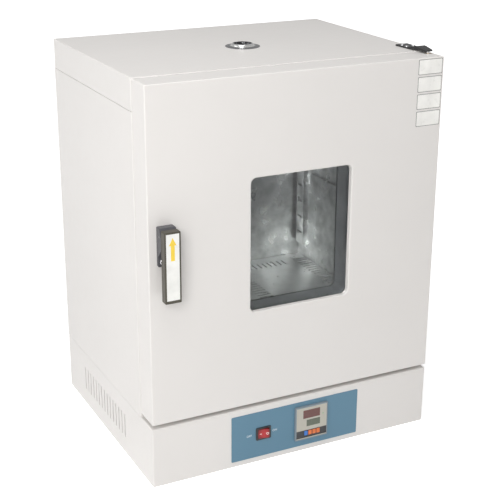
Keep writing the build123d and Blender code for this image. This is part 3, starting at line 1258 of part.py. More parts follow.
# Handle base: a mounting plate with a neck that carries the lever's pin in a fork. The top of
# the neck leans back by the lever's travel so that the lever can swing out
neck_slope = math.tan(math.radians(HANDLE_TRAVEL + HANDLE_SPARE))
neck_top_reach = HANDLE_REACH - (base_top_z - pivot_z) * neck_slope
mount_low_z = base_top_z - HANDLE_MOUNT_LENGTH
neck_low_z = base_top_z - HANDLE_NECK_LENGTH
neck_ramp = HANDLE_REACH - HANDLE_MOUNT_THICKNESS
fork_low_z = pivot_z - 2 * TONGUE_HEIGHT
lug_swing = (HANDLE_REACH - HANDLE_PIVOT_REACH) * math.sin(math.radians(HANDLE_TRAVEL))
fork_high_z = pivot_z + HANDLE_LUG_RADIUS + lug_swing + FIT
with BuildPart() as handle_base:
    with BuildSketch(side_plane(handle_x)):
        with BuildLine():
            Polyline(
                (door_front_y, mount_low_z),
                (door_front_y - HANDLE_MOUNT_THICKNESS, mount_low_z),
                (door_front_y - HANDLE_MOUNT_THICKNESS, neck_low_z),
                (door_front_y - HANDLE_REACH, neck_low_z + neck_ramp),
                (door_front_y - HANDLE_REACH, pivot_z),
                (door_front_y - neck_top_reach, base_top_z),
                (door_front_y, base_top_z),
                close=True,
            )
        make_face()
    extrude(amount=HANDLE_WIDTH / 2, both=True)
    fillet(handle_base.edges().filter_by(Axis.Y), HANDLE_ROUND)
    with BuildSketch(front_plane(door_front_y)):
        with Locations((handle_x, (fork_low_z + fork_high_z) / 2)):
            Rectangle(HANDLE_LUG_WIDTH + 4 * FIT, fork_high_z - fork_low_z)
    extrude(amount=HANDLE_REACH, mode=Mode.SUBTRACT)
    with BuildSketch(side_plane(handle_x)):
        with Locations((pivot_y, pivot_z)):
            Circle(HANDLE_PIN_RADIUS)
    extrude(amount=HANDLE_WIDTH, both=True, mode=Mode.SUBTRACT)
handle_base.part.label = "handle_base"
export_step(handle_base.part, "parts/handle_base.step")

with BuildPart() as handle_pin:
    with BuildSketch(side_plane(handle_x)):
        with Locations((pivot_y, pivot_z)):
            Circle(HANDLE_PIN_RADIUS)
    extrude(amount=HANDLE_WIDTH / 2 - EDGE, both=True)
handle_pin.part.label = "handle_pin"
export_step(handle_pin.part, "parts/handle_pin.step")

# Handle screws, low on the mounting plate
handle_screw_z = mount_low_z + HANDLE_SCREW_HEAD * 2
handle_screws_at = [(handle_x + side * HANDLE_WIDTH / 4, handle_screw_z) for side in (-1, 1)]
with BuildPart() as handle_screws:
    with BuildSketch(front_plane(door_front_y - HANDLE_MOUNT_THICKNESS)):
        with Locations(*handle_screws_at):
            Circle(HANDLE_SCREW_HEAD)
    extrude(amount=HANDLE_SCREW_HEIGHT)
    chamfer(handle_screws.faces().group_by(Axis.Y)[0].edges(), EDGE * 2)
handle_screws.part.label = "handle_screws"
export_step(handle_screws.part, "parts/handle_screws.step")

# Handle lever: a long bar with a recess for the insert and a lug on the pin
insert_width = HANDLE_WIDTH - 2 * INSERT_MARGIN
insert_height = HANDLE_LENGTH - INSERT_MARGIN - INSERT_FOOT
insert_mid_z = handle_top_z - INSERT_MARGIN - insert_height / 2
with BuildPart() as handle_lever:
    with BuildSketch(front_plane(lever_back_y, handle_x, handle_mid_z)):
        RectangleRounded(HANDLE_WIDTH, HANDLE_LENGTH, HANDLE_ROUND)
    extrude(amount=HANDLE_THICKNESS)
    fillet(handle_lever.faces().sort_by(Axis.Y)[0].edges(), HANDLE_ROUND / 2)
    fillet(handle_lever.faces().sort_by(Axis.Y)[-1].edges(), HANDLE_ROUND / 2)
    with BuildSketch(side_plane(handle_x)):
        with Locations((pivot_y, pivot_z)):
            Circle(HANDLE_LUG_RADIUS)
        with Locations(((pivot_y + lever_back_y - HANDLE_ROUND) / 2, pivot_z)):
            Rectangle(pivot_y - lever_back_y + HANDLE_ROUND, 2 * HANDLE_LUG_RADIUS)
        with Locations(((pivot_y + lug_back_y) / 2, pivot_z)):
            Rectangle(lug_back_y - pivot_y, TONGUE_HEIGHT)
    extrude(amount=HANDLE_LUG_WIDTH / 2, both=True)
    with BuildSketch(side_plane(handle_x)):
        with Locations((pivot_y, pivot_z)):
            Circle(HANDLE_PIN_RADIUS + RUNNING)
    extrude(amount=HANDLE_LUG_WIDTH, both=True, mode=Mode.SUBTRACT)
    with BuildSketch(front_plane(lever_front_y, handle_x, insert_mid_z)):
        Rectangle(insert_width, insert_height)
    extrude(amount=-INSERT_THICKNESS, mode=Mode.SUBTRACT)
handle_lever.part.label = "handle_lever"
export_step(handle_lever.part, "parts/handle_lever.step")

with BuildPart() as handle_insert:
    with BuildSketch(front_plane(lever_front_y + INSERT_THICKNESS, handle_x, insert_mid_z)):
        Rectangle(insert_width, insert_height)
    extrude(amount=INSERT_THICKNESS)
handle_insert.part.label = "handle_insert"
export_step(handle_insert.part, "parts/handle_insert.step")

# Latch tongue: a flat bar from the lug through the door, with a rounded nose behind the frame
nose_back_y = tongue_end_y
nose_front_y = tongue_end_y - TONGUE_NOSE_LENGTH
tongue_low_z = pivot_z - TONGUE_HEIGHT / 2
tongue_high_z = pivot_z + TONGUE_HEIGHT / 2
with BuildPart() as latch_tongue:
    with BuildSketch(side_plane(handle_x)):
        with BuildLine():
            Line((lug_back_y, tongue_low_z), (nose_back_y, tongue_low_z))
            Line((nose_back_y, tongue_low_z), (nose_back_y, tongue_high_z))
            ThreePointArc(
                (nose_back_y, tongue_high_z),
                ((nose_back_y + nose_front_y) / 2, tongue_high_z + TONGUE_NOSE),
                (nose_front_y, tongue_high_z),
            )
            Line((nose_front_y, tongue_high_z), (lug_back_y, tongue_high_z))
            Line((lug_back_y, tongue_high_z), (lug_back_y, tongue_low_z))
        make_face()
    extrude(amount=TONGUE_THICKNESS / 2, both=True)
latch_tongue.part.label = "latch_tongue"
export_step(latch_tongue.part, "parts/latch_tongue.step")

# Latch strike: a slotted plate behind the front frame with a sprung strip above the tongue
strip_low_z = tongue_high_z + TONGUE_NOSE + STRIKE_GAP
strike_back_y = frame_back_y + STRIKE_THICKNESS
strike_slot_height = strike_slot_high - tongue_slot_low
with BuildPart() as latch_strike:
    with BuildSketch(front_plane(strike_back_y)):
        with Locations((handle_x, (tongue_slot_low + strike_slot_high) / 2)):
            Rectangle(STRIKE_WIDTH, strike_slot_height + STRIKE_WIDTH)
            Rectangle(tongue_slot_width, strike_slot_height, mode=Mode.SUBTRACT)
    extrude(amount=STRIKE_THICKNESS)
    with BuildSketch(side_plane(handle_x)):
        with BuildLine():
            Polyline(
                (strike_back_y, strike_slot_high + STRIP_FOOT + 2 * STRIP_THICKNESS),
                (strike_back_y, strike_slot_high + STRIP_FOOT),
                (nose_front_y, strip_low_z),
                (nose_back_y, strip_low_z),
                (nose_back_y + STRIP_TAIL, strip_low_z + STRIP_TAIL_RISE),
                (nose_back_y + STRIP_TAIL - STRIP_THICKNESS, strip_low_z + STRIP_TAIL_RISE + STRIP_THICKNESS),
                (nose_back_y - STRIP_THICKNESS / 2, strip_low_z + STRIP_THICKNESS),
                (nose_front_y + STRIP_THICKNESS / 2, strip_low_z + STRIP_THICKNESS),
                close=True,
            )
        make_face()
    extrude(amount=tongue_slot_width / 2, both=True)
latch_strike.part.label = "latch_strike"
export_step(latch_strike.part, "parts/latch_strike.step")
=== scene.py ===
import math

import bmesh
import bpy
from mathutils import Matrix, Vector


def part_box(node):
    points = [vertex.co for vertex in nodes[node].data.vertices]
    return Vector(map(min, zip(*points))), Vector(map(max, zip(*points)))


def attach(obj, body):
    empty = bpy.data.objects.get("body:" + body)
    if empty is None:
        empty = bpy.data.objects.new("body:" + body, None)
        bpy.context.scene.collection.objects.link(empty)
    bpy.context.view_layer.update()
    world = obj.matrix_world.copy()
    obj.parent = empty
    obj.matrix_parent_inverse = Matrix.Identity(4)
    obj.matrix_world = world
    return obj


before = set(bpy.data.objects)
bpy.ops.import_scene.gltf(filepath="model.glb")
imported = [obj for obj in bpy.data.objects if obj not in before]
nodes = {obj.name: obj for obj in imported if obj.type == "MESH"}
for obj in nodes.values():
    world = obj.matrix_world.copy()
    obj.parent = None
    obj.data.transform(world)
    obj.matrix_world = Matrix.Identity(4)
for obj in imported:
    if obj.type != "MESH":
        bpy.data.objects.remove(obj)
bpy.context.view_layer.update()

scene = bpy.context.scene
scene.view_settings.view_transform = "Standard"
MM = 0.001

# Camera: stands where the photograph was taken from
CAMERA_AT = Vector((-0.99174, -2.00249, 1.16382))
CAMERA_AZIMUTH = math.radians(-26.78)
CAMERA_ELEVATION = math.radians(20.138)
CAMERA_ROLL = math.radians(0.311)
CAMERA_LENS = 83.96

back = Vector((
    math.sin(CAMERA_AZIMUTH) * math.cos(CAMERA_ELEVATION),
    -math.cos(CAMERA_AZIMUTH) * math.cos(CAMERA_ELEVATION),
    math.sin(CAMERA_ELEVATION),
))
level_right = Vector((0, 0, 1)).cross(back).normalized()
level_up = back.cross(level_right)
right = level_right * math.cos(CAMERA_ROLL) + level_up * math.sin(CAMERA_ROLL)
up = level_up * math.cos(CAMERA_ROLL) - level_right * math.sin(CAMERA_ROLL)
camera_data = bpy.data.cameras.new("camera")
camera_data.lens = CAMERA_LENS
camera_data.sensor_width = 36
camera_data.clip_end = 50
camera = bpy.data.objects.new("camera", camera_data)
camera.matrix_world = Matrix((
    (right.x, up.x, back.x, CAMERA_AT.x),
    (right.y, up.y, back.y, CAMERA_AT.y),
    (right.z, up.z, back.z, CAMERA_AT.z),
    (0, 0, 0, 1),
))
scene.collection.objects.link(camera)
scene.camera = camera


# Node helpers
class Shader:
    """A node material that is built up from short calls."""

    def __init__(self, name):
        self.mat = bpy.data.materials.new(name)
        self.mat.use_nodes = True
        self.tree = self.mat.node_tree
        self.tree.nodes.clear()
        self.out = self.add("ShaderNodeOutputMaterial")
        self.bsdf = self.add("ShaderNodeBsdfPrincipled")
        self.link(self.bsdf.outputs[0], self.out.inputs["Surface"])
        self.place = self.add("ShaderNodeTexCoord").outputs["Object"]

    def add(self, kind, **values):
        node = self.tree.nodes.new(kind)
        for key, value in values.items():
            setattr(node, key, value)
        return node

    def link(self, a, b):
        self.tree.links.new(a, b)

    def set(self, **values):
        for key, value in values.items():
            self.bsdf.inputs[key.replace("_", " ")].default_value = value

    def math(self, operation, a, b=0.0, c=0.0):
        node = self.add("ShaderNodeMath", operation=operation)
        for socket, value in zip(node.inputs, (a, b, c)):
            if isinstance(value, (int, float)):
                socket.default_value = value
            else:
                self.link(value, socket)
        return node.outputs[0]

    def stretched(self, scale):
        node = self.add("ShaderNodeMapping")
        node.inputs["Scale"].default_value = scale
        self.link(self.place, node.inputs["Vector"])
        return node.outputs[0]

    def noise(self, scale, detail=2.0, rough=0.5, stretch=None):
        node = self.add("ShaderNodeTexNoise")
        node.inputs["Scale"].default_value = scale
        node.inputs["Detail"].default_value = detail
        node.inputs["Roughness"].default_value = rough
        self.link(self.stretched(stretch) if stretch else self.place, node.inputs["Vector"])
        return node.outputs[0]

    def between(self, value, low, high, to_low=0.0, to_high=1.0):
        node = self.add("ShaderNodeMapRange")
        self.link(value, node.inputs["Value"])
        node.inputs["From Min"].default_value = low
        node.inputs["From Max"].default_value = high
        node.inputs["To Min"].default_value = to_low
        node.inputs["To Max"].default_value = to_high
        return node.outputs[0]

    def mix(self, factor, a, b):
        node = self.add("ShaderNodeMix", data_type="RGBA")
        for socket, value in ((node.inputs[0], factor), (node.inputs[6], a), (node.inputs[7], b)):
            if isinstance(value, (int, float)):
                socket.default_value = value
            elif isinstance(value, tuple):
                socket.default_value = (*value, 1.0)
            else:
                self.link(value, socket)
        return node.outputs[2]

    def colour(self, socket):
        self.link(socket, self.bsdf.inputs["Base Color"])

    def rough(self, socket):
        self.link(socket, self.bsdf.inputs["Roughness"])

    def bump(self, height, strength, distance):
        node = self.add("ShaderNodeBump")
        node.inputs["Strength"].default_value = strength
        node.inputs["Distance"].default_value = distance
        self.link(height, node.inputs["Height"])
        self.link(node.outputs[0], self.bsdf.inputs["Normal"])

    def axes(self):
        node = self.add("ShaderNodeSeparateXYZ")
        self.link(self.place, node.inputs[0])
        return node.outputs

    def within(self, value, centre, half):
        away = self.math("ABSOLUTE", self.math("SUBTRACT", value, centre))
        return self.math("LESS_THAN", away, half)

    def patch(self, x, z, centre_x, centre_z, half_x, half_z):
        in_width = self.within(x, centre_x, half_x)
        in_height = self.within(z, centre_z, half_z)
        return self.math("MULTIPLY", in_width, in_height)

    def distance(self, x, z, centre_x, centre_z):
        across = self.math("SUBTRACT", x, centre_x)
        above = self.math("SUBTRACT", z, centre_z)
        across_squared = self.math("MULTIPLY", across, across)
        above_squared = self.math("MULTIPLY", above, above)
        return self.math("SQRT", self.math("ADD", across_squared, above_squared))


def shade(a, amount):
    return tuple(min(1.0, max(0.0, c * amount)) for c in a)


def srgb(r, g, b):
    def one(c):
        c /= 255
        return c / 12.92 if c <= 0.04045 else ((c + 0.055) / 1.055) ** 2.4
    return (one(r), one(g), one(b))


def enamel(name, colour, roughness=0.42, grain=1.0):
    s = Shader(name)
    wide = s.noise(3.0, 3.0)
    fine = s.noise(700.0, 2.0, 0.6)
    s.colour(s.mix(s.between(wide, 0.35, 0.65), shade(colour, 0.985), shade(colour, 1.01)))
    s.rough(s.between(s.noise(60.0, 3.0), 0.3, 0.7, roughness - 0.04, roughness + 0.05))
    s.bump(fine, 0.10 * grain, 0.0006)
    s.set(Specular_IOR_Level=0.45)
    return s.mat


def brushed(name, colour, roughness, along, depth=0.25):
    s = Shader(name)
    lines = s.noise(1.0, 3.0, 0.6, along)
    blotch = s.noise(28.0, 5.0, 0.6)
    s.colour(s.mix(s.between(blotch, 0.3, 0.7), shade(colour, 0.82), shade(colour, 1.12)))
    s.rough(s.between(blotch, 0.3, 0.7, roughness - 0.07, roughness + 0.10))
    s.bump(lines, depth, 0.0004)
    s.set(Metallic=1.0)
    return s.mat


def plastic(name, colour, roughness=0.45, grain=1.0):
    s = Shader(name)
    s.colour(s.mix(s.between(s.noise(40.0, 3.0), 0.3, 0.7), shade(colour, 0.93), shade(colour, 1.06)))
    s.rough(s.between(s.noise(120.0, 3.0), 0.3, 0.7, roughness - 0.05, roughness + 0.06))
    s.bump(s.noise(900.0, 2.0), 0.12 * grain, 0.0004)
    return s.mat


def inside_steel(name, dim, light, roughness, along):
    """Brushed sheet of the chamber: painted shade darkens it high up on the left, and it keeps a painted
    lit tone low down and towards the right.
    """
    s = Shader(name)
    x, _, z = s.axes()
    blotch = s.noise(28.0, 5.0, 0.6)
    height = s.between(z, CHAMBER_LOW, CHAMBER_HIGH)
    from_right = s.between(x, CHAMBER_RIGHT - CHAMBER_FADE, CHAMBER_RIGHT, 1.0, 0.0)
    # painted shade: the colour runs from the lit tone to the shaded tone towards the top left of the
    # chamber
    colour = s.mix(s.math("MULTIPLY", height, from_right), light, dim)
    s.colour(s.mix(s.between(blotch, 0.38, 0.70, 0.0, 0.5), colour, shade(dim, 0.5)))
    s.rough(s.between(blotch, 0.3, 0.7, roughness - 0.07, roughness + 0.10))
    s.bump(s.noise(1.0, 3.0, 0.6, along), 0.25, 0.0004)
    s.set(Metallic=1.0)
    return s.mat


def polished(name, colour, roughness):
    s = Shader(name)
    s.colour(s.mix(s.between(s.noise(90.0, 3.0), 0.3, 0.7), shade(colour, 0.9), colour))
    s.rough(s.between(s.noise(260.0, 4.0), 0.3, 0.7, roughness, roughness + 0.12))
    s.bump(s.noise(1.0, 2.0, 0.5, (900.0, 900.0, 60.0)), 0.05, 0.0003)
    s.set(Metallic=1.0)
    return s.mat


def vent_material():
    """Polished flange coloured dark as a painted dark reflection, with a painted highlight on the raised
    ring round the damper.
    """
    s = Shader("vent_metal")
    x, y, _ = s.axes()
    # painted highlight: a bright ring on the raised rim round the damper; the dark rest of the flange is a
    # painted reflection
    ring = s.within(s.distance(x, y, VENT_X, VENT_Y), VENT_HIGHLIGHT_RADIUS, VENT_HIGHLIGHT_HALF)
    s.colour(s.mix(ring, (0.30, 0.30, 0.31), (0.95, 0.95, 0.94)))
    s.rough(s.between(s.noise(260.0, 4.0), 0.3, 0.7, 0.12, 0.24))
    s.bump(s.noise(1.0, 2.0, 0.5, (900.0, 900.0, 60.0)), 0.05, 0.0003)
    s.set(Metallic=1.0)
    return s.mat


def glass(name, tint):
    s = Shader(name)
    s.set(Roughness=0.0, IOR=1.22, Transmission_Weight=1.0)
    s.bsdf.inputs["Base Color"].default_value = (*tint, 1.0)
    ghost = s.add("ShaderNodeBsdfTransparent")
    ghost.inputs[0].default_value = (*tint, 1.0)
    both = s.add("ShaderNodeMixShader")
    s.link(s.add("ShaderNodeLightPath").outputs["Is Shadow Ray"], both.inputs[0])
    s.link(s.bsdf.outputs[0], both.inputs[1])
    s.link(ghost.outputs[0], both.inputs[2])
    s.link(both.outputs[0], s.out.inputs["Surface"])
    s.bump(s.noise(4.0, 1.0), 0.02, 0.001)
    return s.mat


def wool(name, colour):
    s = Shader(name)
    fibres = s.noise(260.0, 6.0, 0.7)
    s.colour(s.mix(s.between(fibres, 0.3, 0.7), shade(colour, 0.7), shade(colour, 1.15)))
    s.bump(fibres, 0.8, 0.003)
    s.set(Roughness=0.95)
    return s.mat


# Colours, and the places in metres of the details that the materials draw
OFF_WHITE = srgb(226, 223, 220)
BLUE = srgb(92, 131, 153)
CASE_X, CASE_Z, CASE_HALF = 0.0327, 0.0615, 0.0335
STRIP_Z, STRIP_HALF = 0.0378, 0.0081
LED_X, LED_Z, LED_RADIUS = 0.0580, 0.0750, 0.0011
DISPLAY_SPLIT_Z = 0.0698
ROCKER_X, ROCKER_Z = -0.0714, 0.0598
# Distances over which the rocker's painted edge shade sets in, in metres
ROCKER_SHADE_FADE = (0.006, 0.014)
MARK_SPREAD = 0.0066
BAR_HALF = (0.0018, 0.0007)
RING_RADIUS, RING_HALF = 0.0021, 0.0005
# Where the chamber sheet's painted shade grows (CHAMBER_LOW to CHAMBER_HIGH) and fades out towards
# CHAMBER_RIGHT
CHAMBER_LOW, CHAMBER_HIGH = 0.30, 0.52
CHAMBER_RIGHT, CHAMBER_FADE = 0.19, 0.09
# Centre, radius and half width of the vent's painted highlight ring, in metres
VENT_X, VENT_Y, VENT_HIGHLIGHT_RADIUS, VENT_HIGHLIGHT_HALF = 0.002, 0.003, 0.0215, 0.0030


def case_material():
    s = Shader("controller_case")
    x, _, z = s.axes()
    inside = s.patch(x, z, CASE_X, CASE_Z, CASE_HALF, CASE_HALF)
    strip = s.patch(x, z, CASE_X, STRIP_Z, CASE_HALF, STRIP_HALF)
    lit = s.math("LESS_THAN", s.distance(x, z, LED_X, LED_Z), LED_RADIUS)
    face = s.mix(inside, srgb(128, 140, 148), srgb(186, 183, 172))
    dark = s.mix(s.between(s.noise(900.0, 1.0), 0.45, 0.55), srgb(40, 40, 43), srgb(62, 62, 64))
    s.colour(s.mix(lit, s.mix(strip, face, dark), srgb(40, 176, 96)))
    s.rough(s.between(s.noise(200.0, 3.0), 0.3, 0.7, 0.4, 0.55))
    s.bump(s.noise(1200.0, 2.0), 0.1, 0.0003)
    return s.mat


def display_material():
    s = Shader("display_glass")
    _, _, z = s.axes()
    lower = s.math("LESS_THAN", z, DISPLAY_SPLIT_Z)
    face = s.mix(lower, srgb(110, 66, 60), srgb(98, 106, 90))
    s.colour(s.mix(s.between(s.noise(500.0, 2.0), 0.3, 0.7, 0.0, 0.2), face, (0.02, 0.02, 0.02)))
    s.bump(s.noise(30.0, 1.0), 0.02, 0.0005)
    s.set(Roughness=0.12)
    return s.mat


def rocker_material():
    s = Shader("rocker_red")
    x, _, z = s.axes()
    bar = s.patch(x, z, ROCKER_X - MARK_SPREAD, ROCKER_Z, *BAR_HALF)
    ring = s.within(s.distance(x, z, ROCKER_X + MARK_SPREAD, ROCKER_Z), RING_RADIUS, RING_HALF)
    marks = s.math("MAXIMUM", bar, ring)
    # painted shade: the red darkens from the middle of the rocker out to its edges
    painted_edge_shade = s.between(s.distance(x, z, ROCKER_X, ROCKER_Z), *ROCKER_SHADE_FADE)
    red = s.mix(painted_edge_shade, srgb(176, 26, 32), srgb(96, 14, 20))
    s.colour(s.mix(marks, red, srgb(232, 226, 222)))
    s.bump(s.noise(900.0, 2.0), 0.04, 0.0004)
    s.rough(s.between(s.noise(120.0, 3.0), 0.3, 0.7, 0.14, 0.22))
    return s.mat


enamel_white = enamel("enamel_white", OFF_WHITE)
# Shaded and lit tones of the chamber sheet: painted shade and painted light
LINER_PAINTED_SHADE = (0.16, 0.165, 0.17)
LINER_PAINTED_LIGHT = (0.82, 0.825, 0.81)
liner_steel = inside_steel("liner_steel", LINER_PAINTED_SHADE, LINER_PAINTED_LIGHT, 0.30, (40.0, 40.0, 900.0))
floor_steel = brushed("floor_steel", (0.76, 0.77, 0.76), 0.32, (900.0, 40.0, 40.0))
zinc = brushed("zinc_sheet", (0.52, 0.54, 0.55), 0.42, (30.0, 30.0, 30.0), 0.1)
vent_metal = vent_material()
bright = polished("bright_metal", (0.78, 0.78, 0.79), 0.18)
hinge_black = enamel("hinge_black", (0.018, 0.018, 0.020), 0.35, 1.5)
handle_grey = enamel("handle_grey", srgb(88, 88, 92), 0.38, 1.2)
lever_dark = enamel("lever_dark", srgb(68, 64, 52), 0.33, 1.0)
insert_white = plastic("insert_white", srgb(236, 236, 232), 0.35, 0.5)
lagging = wool("mineral_wool", (0.62, 0.56, 0.40))
pane = glass("window_glass", (0.93, 0.94, 0.945))
silicone = plastic("seal_rubber", srgb(150, 70, 58), 0.6)
bronze = polished("bush_bronze", (0.66, 0.45, 0.20), 0.3)
panel_blue = enamel("panel_blue", BLUE, 0.40, 0.6)
black = plastic("black_plastic", (0.022, 0.022, 0.024), 0.42)
key_blue = plastic("key_blue", srgb(62, 120, 200), 0.4)
key_orange = plastic("key_orange", srgb(226, 118, 62), 0.4)
motor_metal = enamel("motor_metal", (0.30, 0.31, 0.32), 0.5, 2.0)
impeller_metal = brushed("impeller_metal", (0.70, 0.71, 0.72), 0.28, (60.0, 60.0, 60.0), 0.1)
cream = plastic("terminal_plastic", srgb(212, 206, 184), 0.5)
heater_metal = brushed("heater_metal", (0.22, 0.20, 0.18), 0.45, (60.0, 60.0, 60.0), 0.15)

FINISH = {
    enamel_white: "base_shell right_side_panel left_side_panel rear_panel top_cover front_frame door_skin",
    liner_steel: (
        "chamber_liner shelf_uprights air_guides door_inner_panel window_retainer "
        "temperature_probe"
    ),
    floor_steel: "floor_plate",
    zinc: "base_floor motor_bracket vent_tube window_jamb",
    vent_metal: "vent_flange vent_damper",
    bright: (
        "rear_screws fan_shaft hinge_pins hinge_screws handle_pin handle_screws "
        "latch_tongue latch_strike"
    ),
    hinge_black: "top_hinge_plate bottom_hinge_plate",
    handle_grey: "handle_base",
    lever_dark: "handle_lever",
    insert_white: "handle_insert",
    lagging: "side_insulation rear_insulation top_insulation bottom_insulation door_insulation",
    pane: "outer_glass inner_glass",
    silicone: "door_seal",
    bronze: "shaft_bushes hinge_bushes hinge_washer",
    panel_blue: "control_panel",
    black: "switch_housing cable_gland",
    rocker_material(): "switch_rocker",
    case_material(): "controller_case",
    display_material(): "display_windows",
    key_blue: "set_key",
    key_orange: "shift_key down_key up_key",
    motor_metal: "motor_housing",
    impeller_metal: "fan_impeller",
    cream: "terminal_block",
    heater_metal: "heater_elements",
}
for finish, names in FINISH.items():
    for name in names.split():
        for holder in nodes[name].material_slots:
            holder.link = "OBJECT"
            holder.material = finish


# Pieces
def piece(name, mesh, material, body):
    obj = bpy.data.objects.new(name, mesh)
    scene.collection.objects.link(obj)
    mesh.materials.append(material)
    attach(obj, body)


CORNER_STEPS = 5


def rounded(width, height, radius):
    """Corner points of a rounded rectangle round the origin, as (across, up)."""
    points = []
    for sx, sz, start in ((1, 1, 0), (-1, 1, 90), (-1, -1, 180), (1, -1, 270)):
        for n in range(CORNER_STEPS + 1):
            a = math.radians(start + 90 * n / CORNER_STEPS)
            points.append((
                sx * (width / 2 - radius) + radius * math.cos(a),
                sz * (height / 2 - radius) + radius * math.sin(a),
            ))
    return points


def front_plate(outlines, face_y, thickness):
    """Thin plates that face the front: each outline is drawn as (x, z), its back lies at face_y."""
    bm = bmesh.new()
    for outline in outlines:
        near = [bm.verts.new((x, face_y - thickness, z)) for x, z in outline]
        far = [bm.verts.new((x, face_y, z)) for x, z in outline]
        bm.faces.new(near)
        bm.faces.new(far[::-1])
        count = len(outline)
        for n in range(count):
            m = (n + 1) % count
            bm.faces.new((near[m], near[n], far[n], far[m]))
    bmesh.ops.recalc_face_normals(bm, faces=bm.faces)
    mesh = bpy.data.meshes.new("plate")
    bm.to_mesh(mesh)
    bm.free()
    return mesh


def moved(outline, x, z):
    return [(px + x, pz + z) for px, pz in outline]


# Plain plates at the top right of the door
door_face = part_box("door_skin")[0].y
PLATE_WIDTH, PLATE_HEIGHT = 52.5 * MM, 28.5 * MM
PLATE_PITCH = 32.5 * MM
PLATE_X, PLATE_TOP_Z = 269.25 * MM, 742 * MM
PLATE_CORNER = 1.5 * MM
PLATE_COUNT = 4
PLATE_EDGE = 0.9 * MM
EDGE_THICKNESS, PLATE_THICKNESS = 0.15 * MM, 0.3 * MM


def plate_set(inset):
    outline = rounded(PLATE_WIDTH - 2 * inset, PLATE_HEIGHT - 2 * inset, PLATE_CORNER)
    return [moved(outline, PLATE_X, PLATE_TOP_Z - n * PLATE_PITCH) for n in range(PLATE_COUNT)]


plate_dark = plastic("plate_dark", srgb(96, 96, 96), 0.4, 0.3)
plate_white = plastic("plate_white", srgb(243, 242, 238), 0.3, 0.3)
edge_mesh = front_plate(plate_set(0), door_face, EDGE_THICKNESS)
plate_mesh = front_plate(plate_set(PLATE_EDGE), door_face, PLATE_THICKNESS)
piece("plate_edges", edge_mesh, plate_dark, "door")
piece("door_plates", plate_mesh, plate_white, "door")

# Arrow on the handle insert
insert_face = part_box("handle_insert")[0].y
insert_x = sum(c.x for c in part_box("handle_insert")) / 2
STEM_HALF, HEAD_HALF = 3.6, 7
ARROW_FOOT_Z, HEAD_FOOT_Z, ARROW_TIP_Z = 458, 486, 500
ARROW_THICKNESS = 0.12 * MM
arrow = [
    (-STEM_HALF, ARROW_FOOT_Z), (STEM_HALF, ARROW_FOOT_Z), (STEM_HALF, HEAD_FOOT_Z),
    (HEAD_HALF, HEAD_FOOT_Z), (0, ARROW_TIP_Z), (-HEAD_HALF, HEAD_FOOT_Z), (-STEM_HALF, HEAD_FOOT_Z),
]
arrow = [(insert_x + x * MM, z * MM) for x, z in arrow]
arrow_yellow = plastic("arrow_yellow", srgb(238, 206, 70), 0.35, 0.3)
arrow_mesh = front_plate([arrow], insert_face, ARROW_THICKNESS)
piece("handle_arrow", arrow_mesh, arrow_yellow, "handle")

# OFF and ON beside the switch
panel_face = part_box("control_panel")[0].y
letter_white = plastic("letter_white", srgb(226, 232, 236), 0.4, 0.3)
WORD_HEIGHT = 4.6 * MM
WORD_DEPTH = 0.05 * MM
CAPITAL_SHARE = 0.72


def word(name, text, x, z):
    curve = bpy.data.curves.new(name, "FONT")
    curve.body = text
    curve.size = WORD_HEIGHT / CAPITAL_SHARE
    curve.align_x = "CENTER"
    curve.align_y = "CENTER"
    curve.extrude = WORD_DEPTH
    text_object = bpy.data.objects.new(name, curve)
    scene.collection.objects.link(text_object)
    bpy.context.view_layer.update()
    evaluated = text_object.evaluated_get(bpy.context.evaluated_depsgraph_get())
    mesh = bpy.data.meshes.new_from_object(evaluated)
    bpy.data.objects.remove(text_object)
    mesh.materials.clear()
    upright = Matrix.Rotation(math.radians(90), 4, "X")
    mesh.transform(Matrix.Translation((x, panel_face - WORD_DEPTH, z)) @ upright)
    piece(name, mesh, letter_white, "cabinet")


word("switch_word_off", "OFF", -101.7 * MM, 59.1 * MM)
word("switch_word_on", "ON", -46.4 * MM, 60.1 * MM)

# Floor and light
FLOOR_HALF = 12
GLOW_NEAR, GLOW_FAR = 0.8, 2.2
GLOW_LOW, GLOW_HIGH = 0.62, 1.0
SOFT_STRENGTH, WHITE_STRENGTH = 0.40, 1.0
PURE_WHITE = (1.0, 1.0, 1.0, 1)
bm = bmesh.new()
bmesh.ops.create_grid(bm, x_segments=2, y_segments=2, size=FLOOR_HALF)
floor_mesh = bpy.data.meshes.new("floor")
bm.to_mesh(floor_mesh)
bm.free()
floor = bpy.data.objects.new("floor", floor_mesh)
scene.collection.objects.link(floor)
ground = Shader("floor")
ground.set(Roughness=0.9, Specular_IOR_Level=0.1)
ground.bsdf.inputs["Base Color"].default_value = (0.86, 0.86, 0.86, 1)
ground.bsdf.inputs["Emission Color"].default_value = PURE_WHITE
path = ground.add("ShaderNodeLightPath").outputs
mirrored = ground.math("MAXIMUM", path["Is Glossy Ray"], path["Is Transmission Ray"])
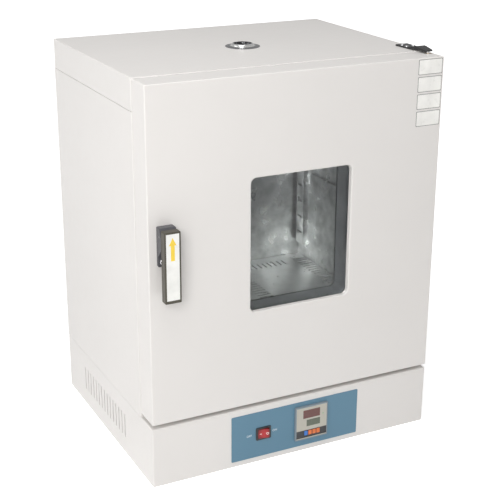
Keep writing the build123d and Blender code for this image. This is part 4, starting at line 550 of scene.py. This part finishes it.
seen = ground.math("MAXIMUM", path["Is Camera Ray"], mirrored)
across, along, _ = ground.axes()
away = ground.distance(across, along, 0.0, 0.0)
glow = ground.between(away, GLOW_NEAR, GLOW_FAR, GLOW_LOW, GLOW_HIGH)
ground.link(ground.math("MULTIPLY", seen, glow), ground.bsdf.inputs["Emission Strength"])
floor_mesh.materials.append(ground.mat)

world = bpy.data.worlds.new("studio")
scene.world = world
world.use_nodes = True
tree = world.node_tree
tree.nodes.clear()
out = tree.nodes.new("ShaderNodeOutputWorld")
mix = tree.nodes.new("ShaderNodeMixShader")
soft = tree.nodes.new("ShaderNodeBackground")
soft.inputs[0].default_value = PURE_WHITE
soft.inputs[1].default_value = SOFT_STRENGTH
white = tree.nodes.new("ShaderNodeBackground")
white.inputs[0].default_value = PURE_WHITE
white.inputs[1].default_value = WHITE_STRENGTH
rays = tree.nodes.new("ShaderNodeLightPath").outputs
world_seen = tree.nodes.new("ShaderNodeMath")
world_seen.operation = "MAXIMUM"
tree.links.new(rays["Is Camera Ray"], world_seen.inputs[0])
tree.links.new(rays["Is Transmission Ray"], world_seen.inputs[1])
tree.links.new(world_seen.outputs[0], mix.inputs[0])
tree.links.new(soft.outputs[0], mix.inputs[1])
tree.links.new(white.outputs[0], mix.inputs[2])
tree.links.new(mix.outputs[0], out.inputs[0])


def lamp(name, place, aim, size, power, colour=(1, 1, 1)):
    data = bpy.data.lights.new(name, "AREA")
    data.shape = "SQUARE"
    data.size = size
    data.energy = power
    data.color = colour
    obj = bpy.data.objects.new(name, data)
    obj.location = place
    obj.rotation_mode = "QUATERNION"
    obj.rotation_quaternion = (Vector(aim) - Vector(place)).to_track_quat("-Z", "Y")
    scene.collection.objects.link(obj)


lamp("key", (-1.5, -2.0, 1.5), (-0.1, -0.2, 0.45), 1.2, 33.0, (1.0, 0.99, 0.98))
lamp("left", (-2.6, 0.5, 1.2), (-0.3, 0, 0.4), 1.6, 9.5)
lamp("top", (-0.6, -0.6, 2.8), (0, 0, 0.7), 1.4, 26.0)
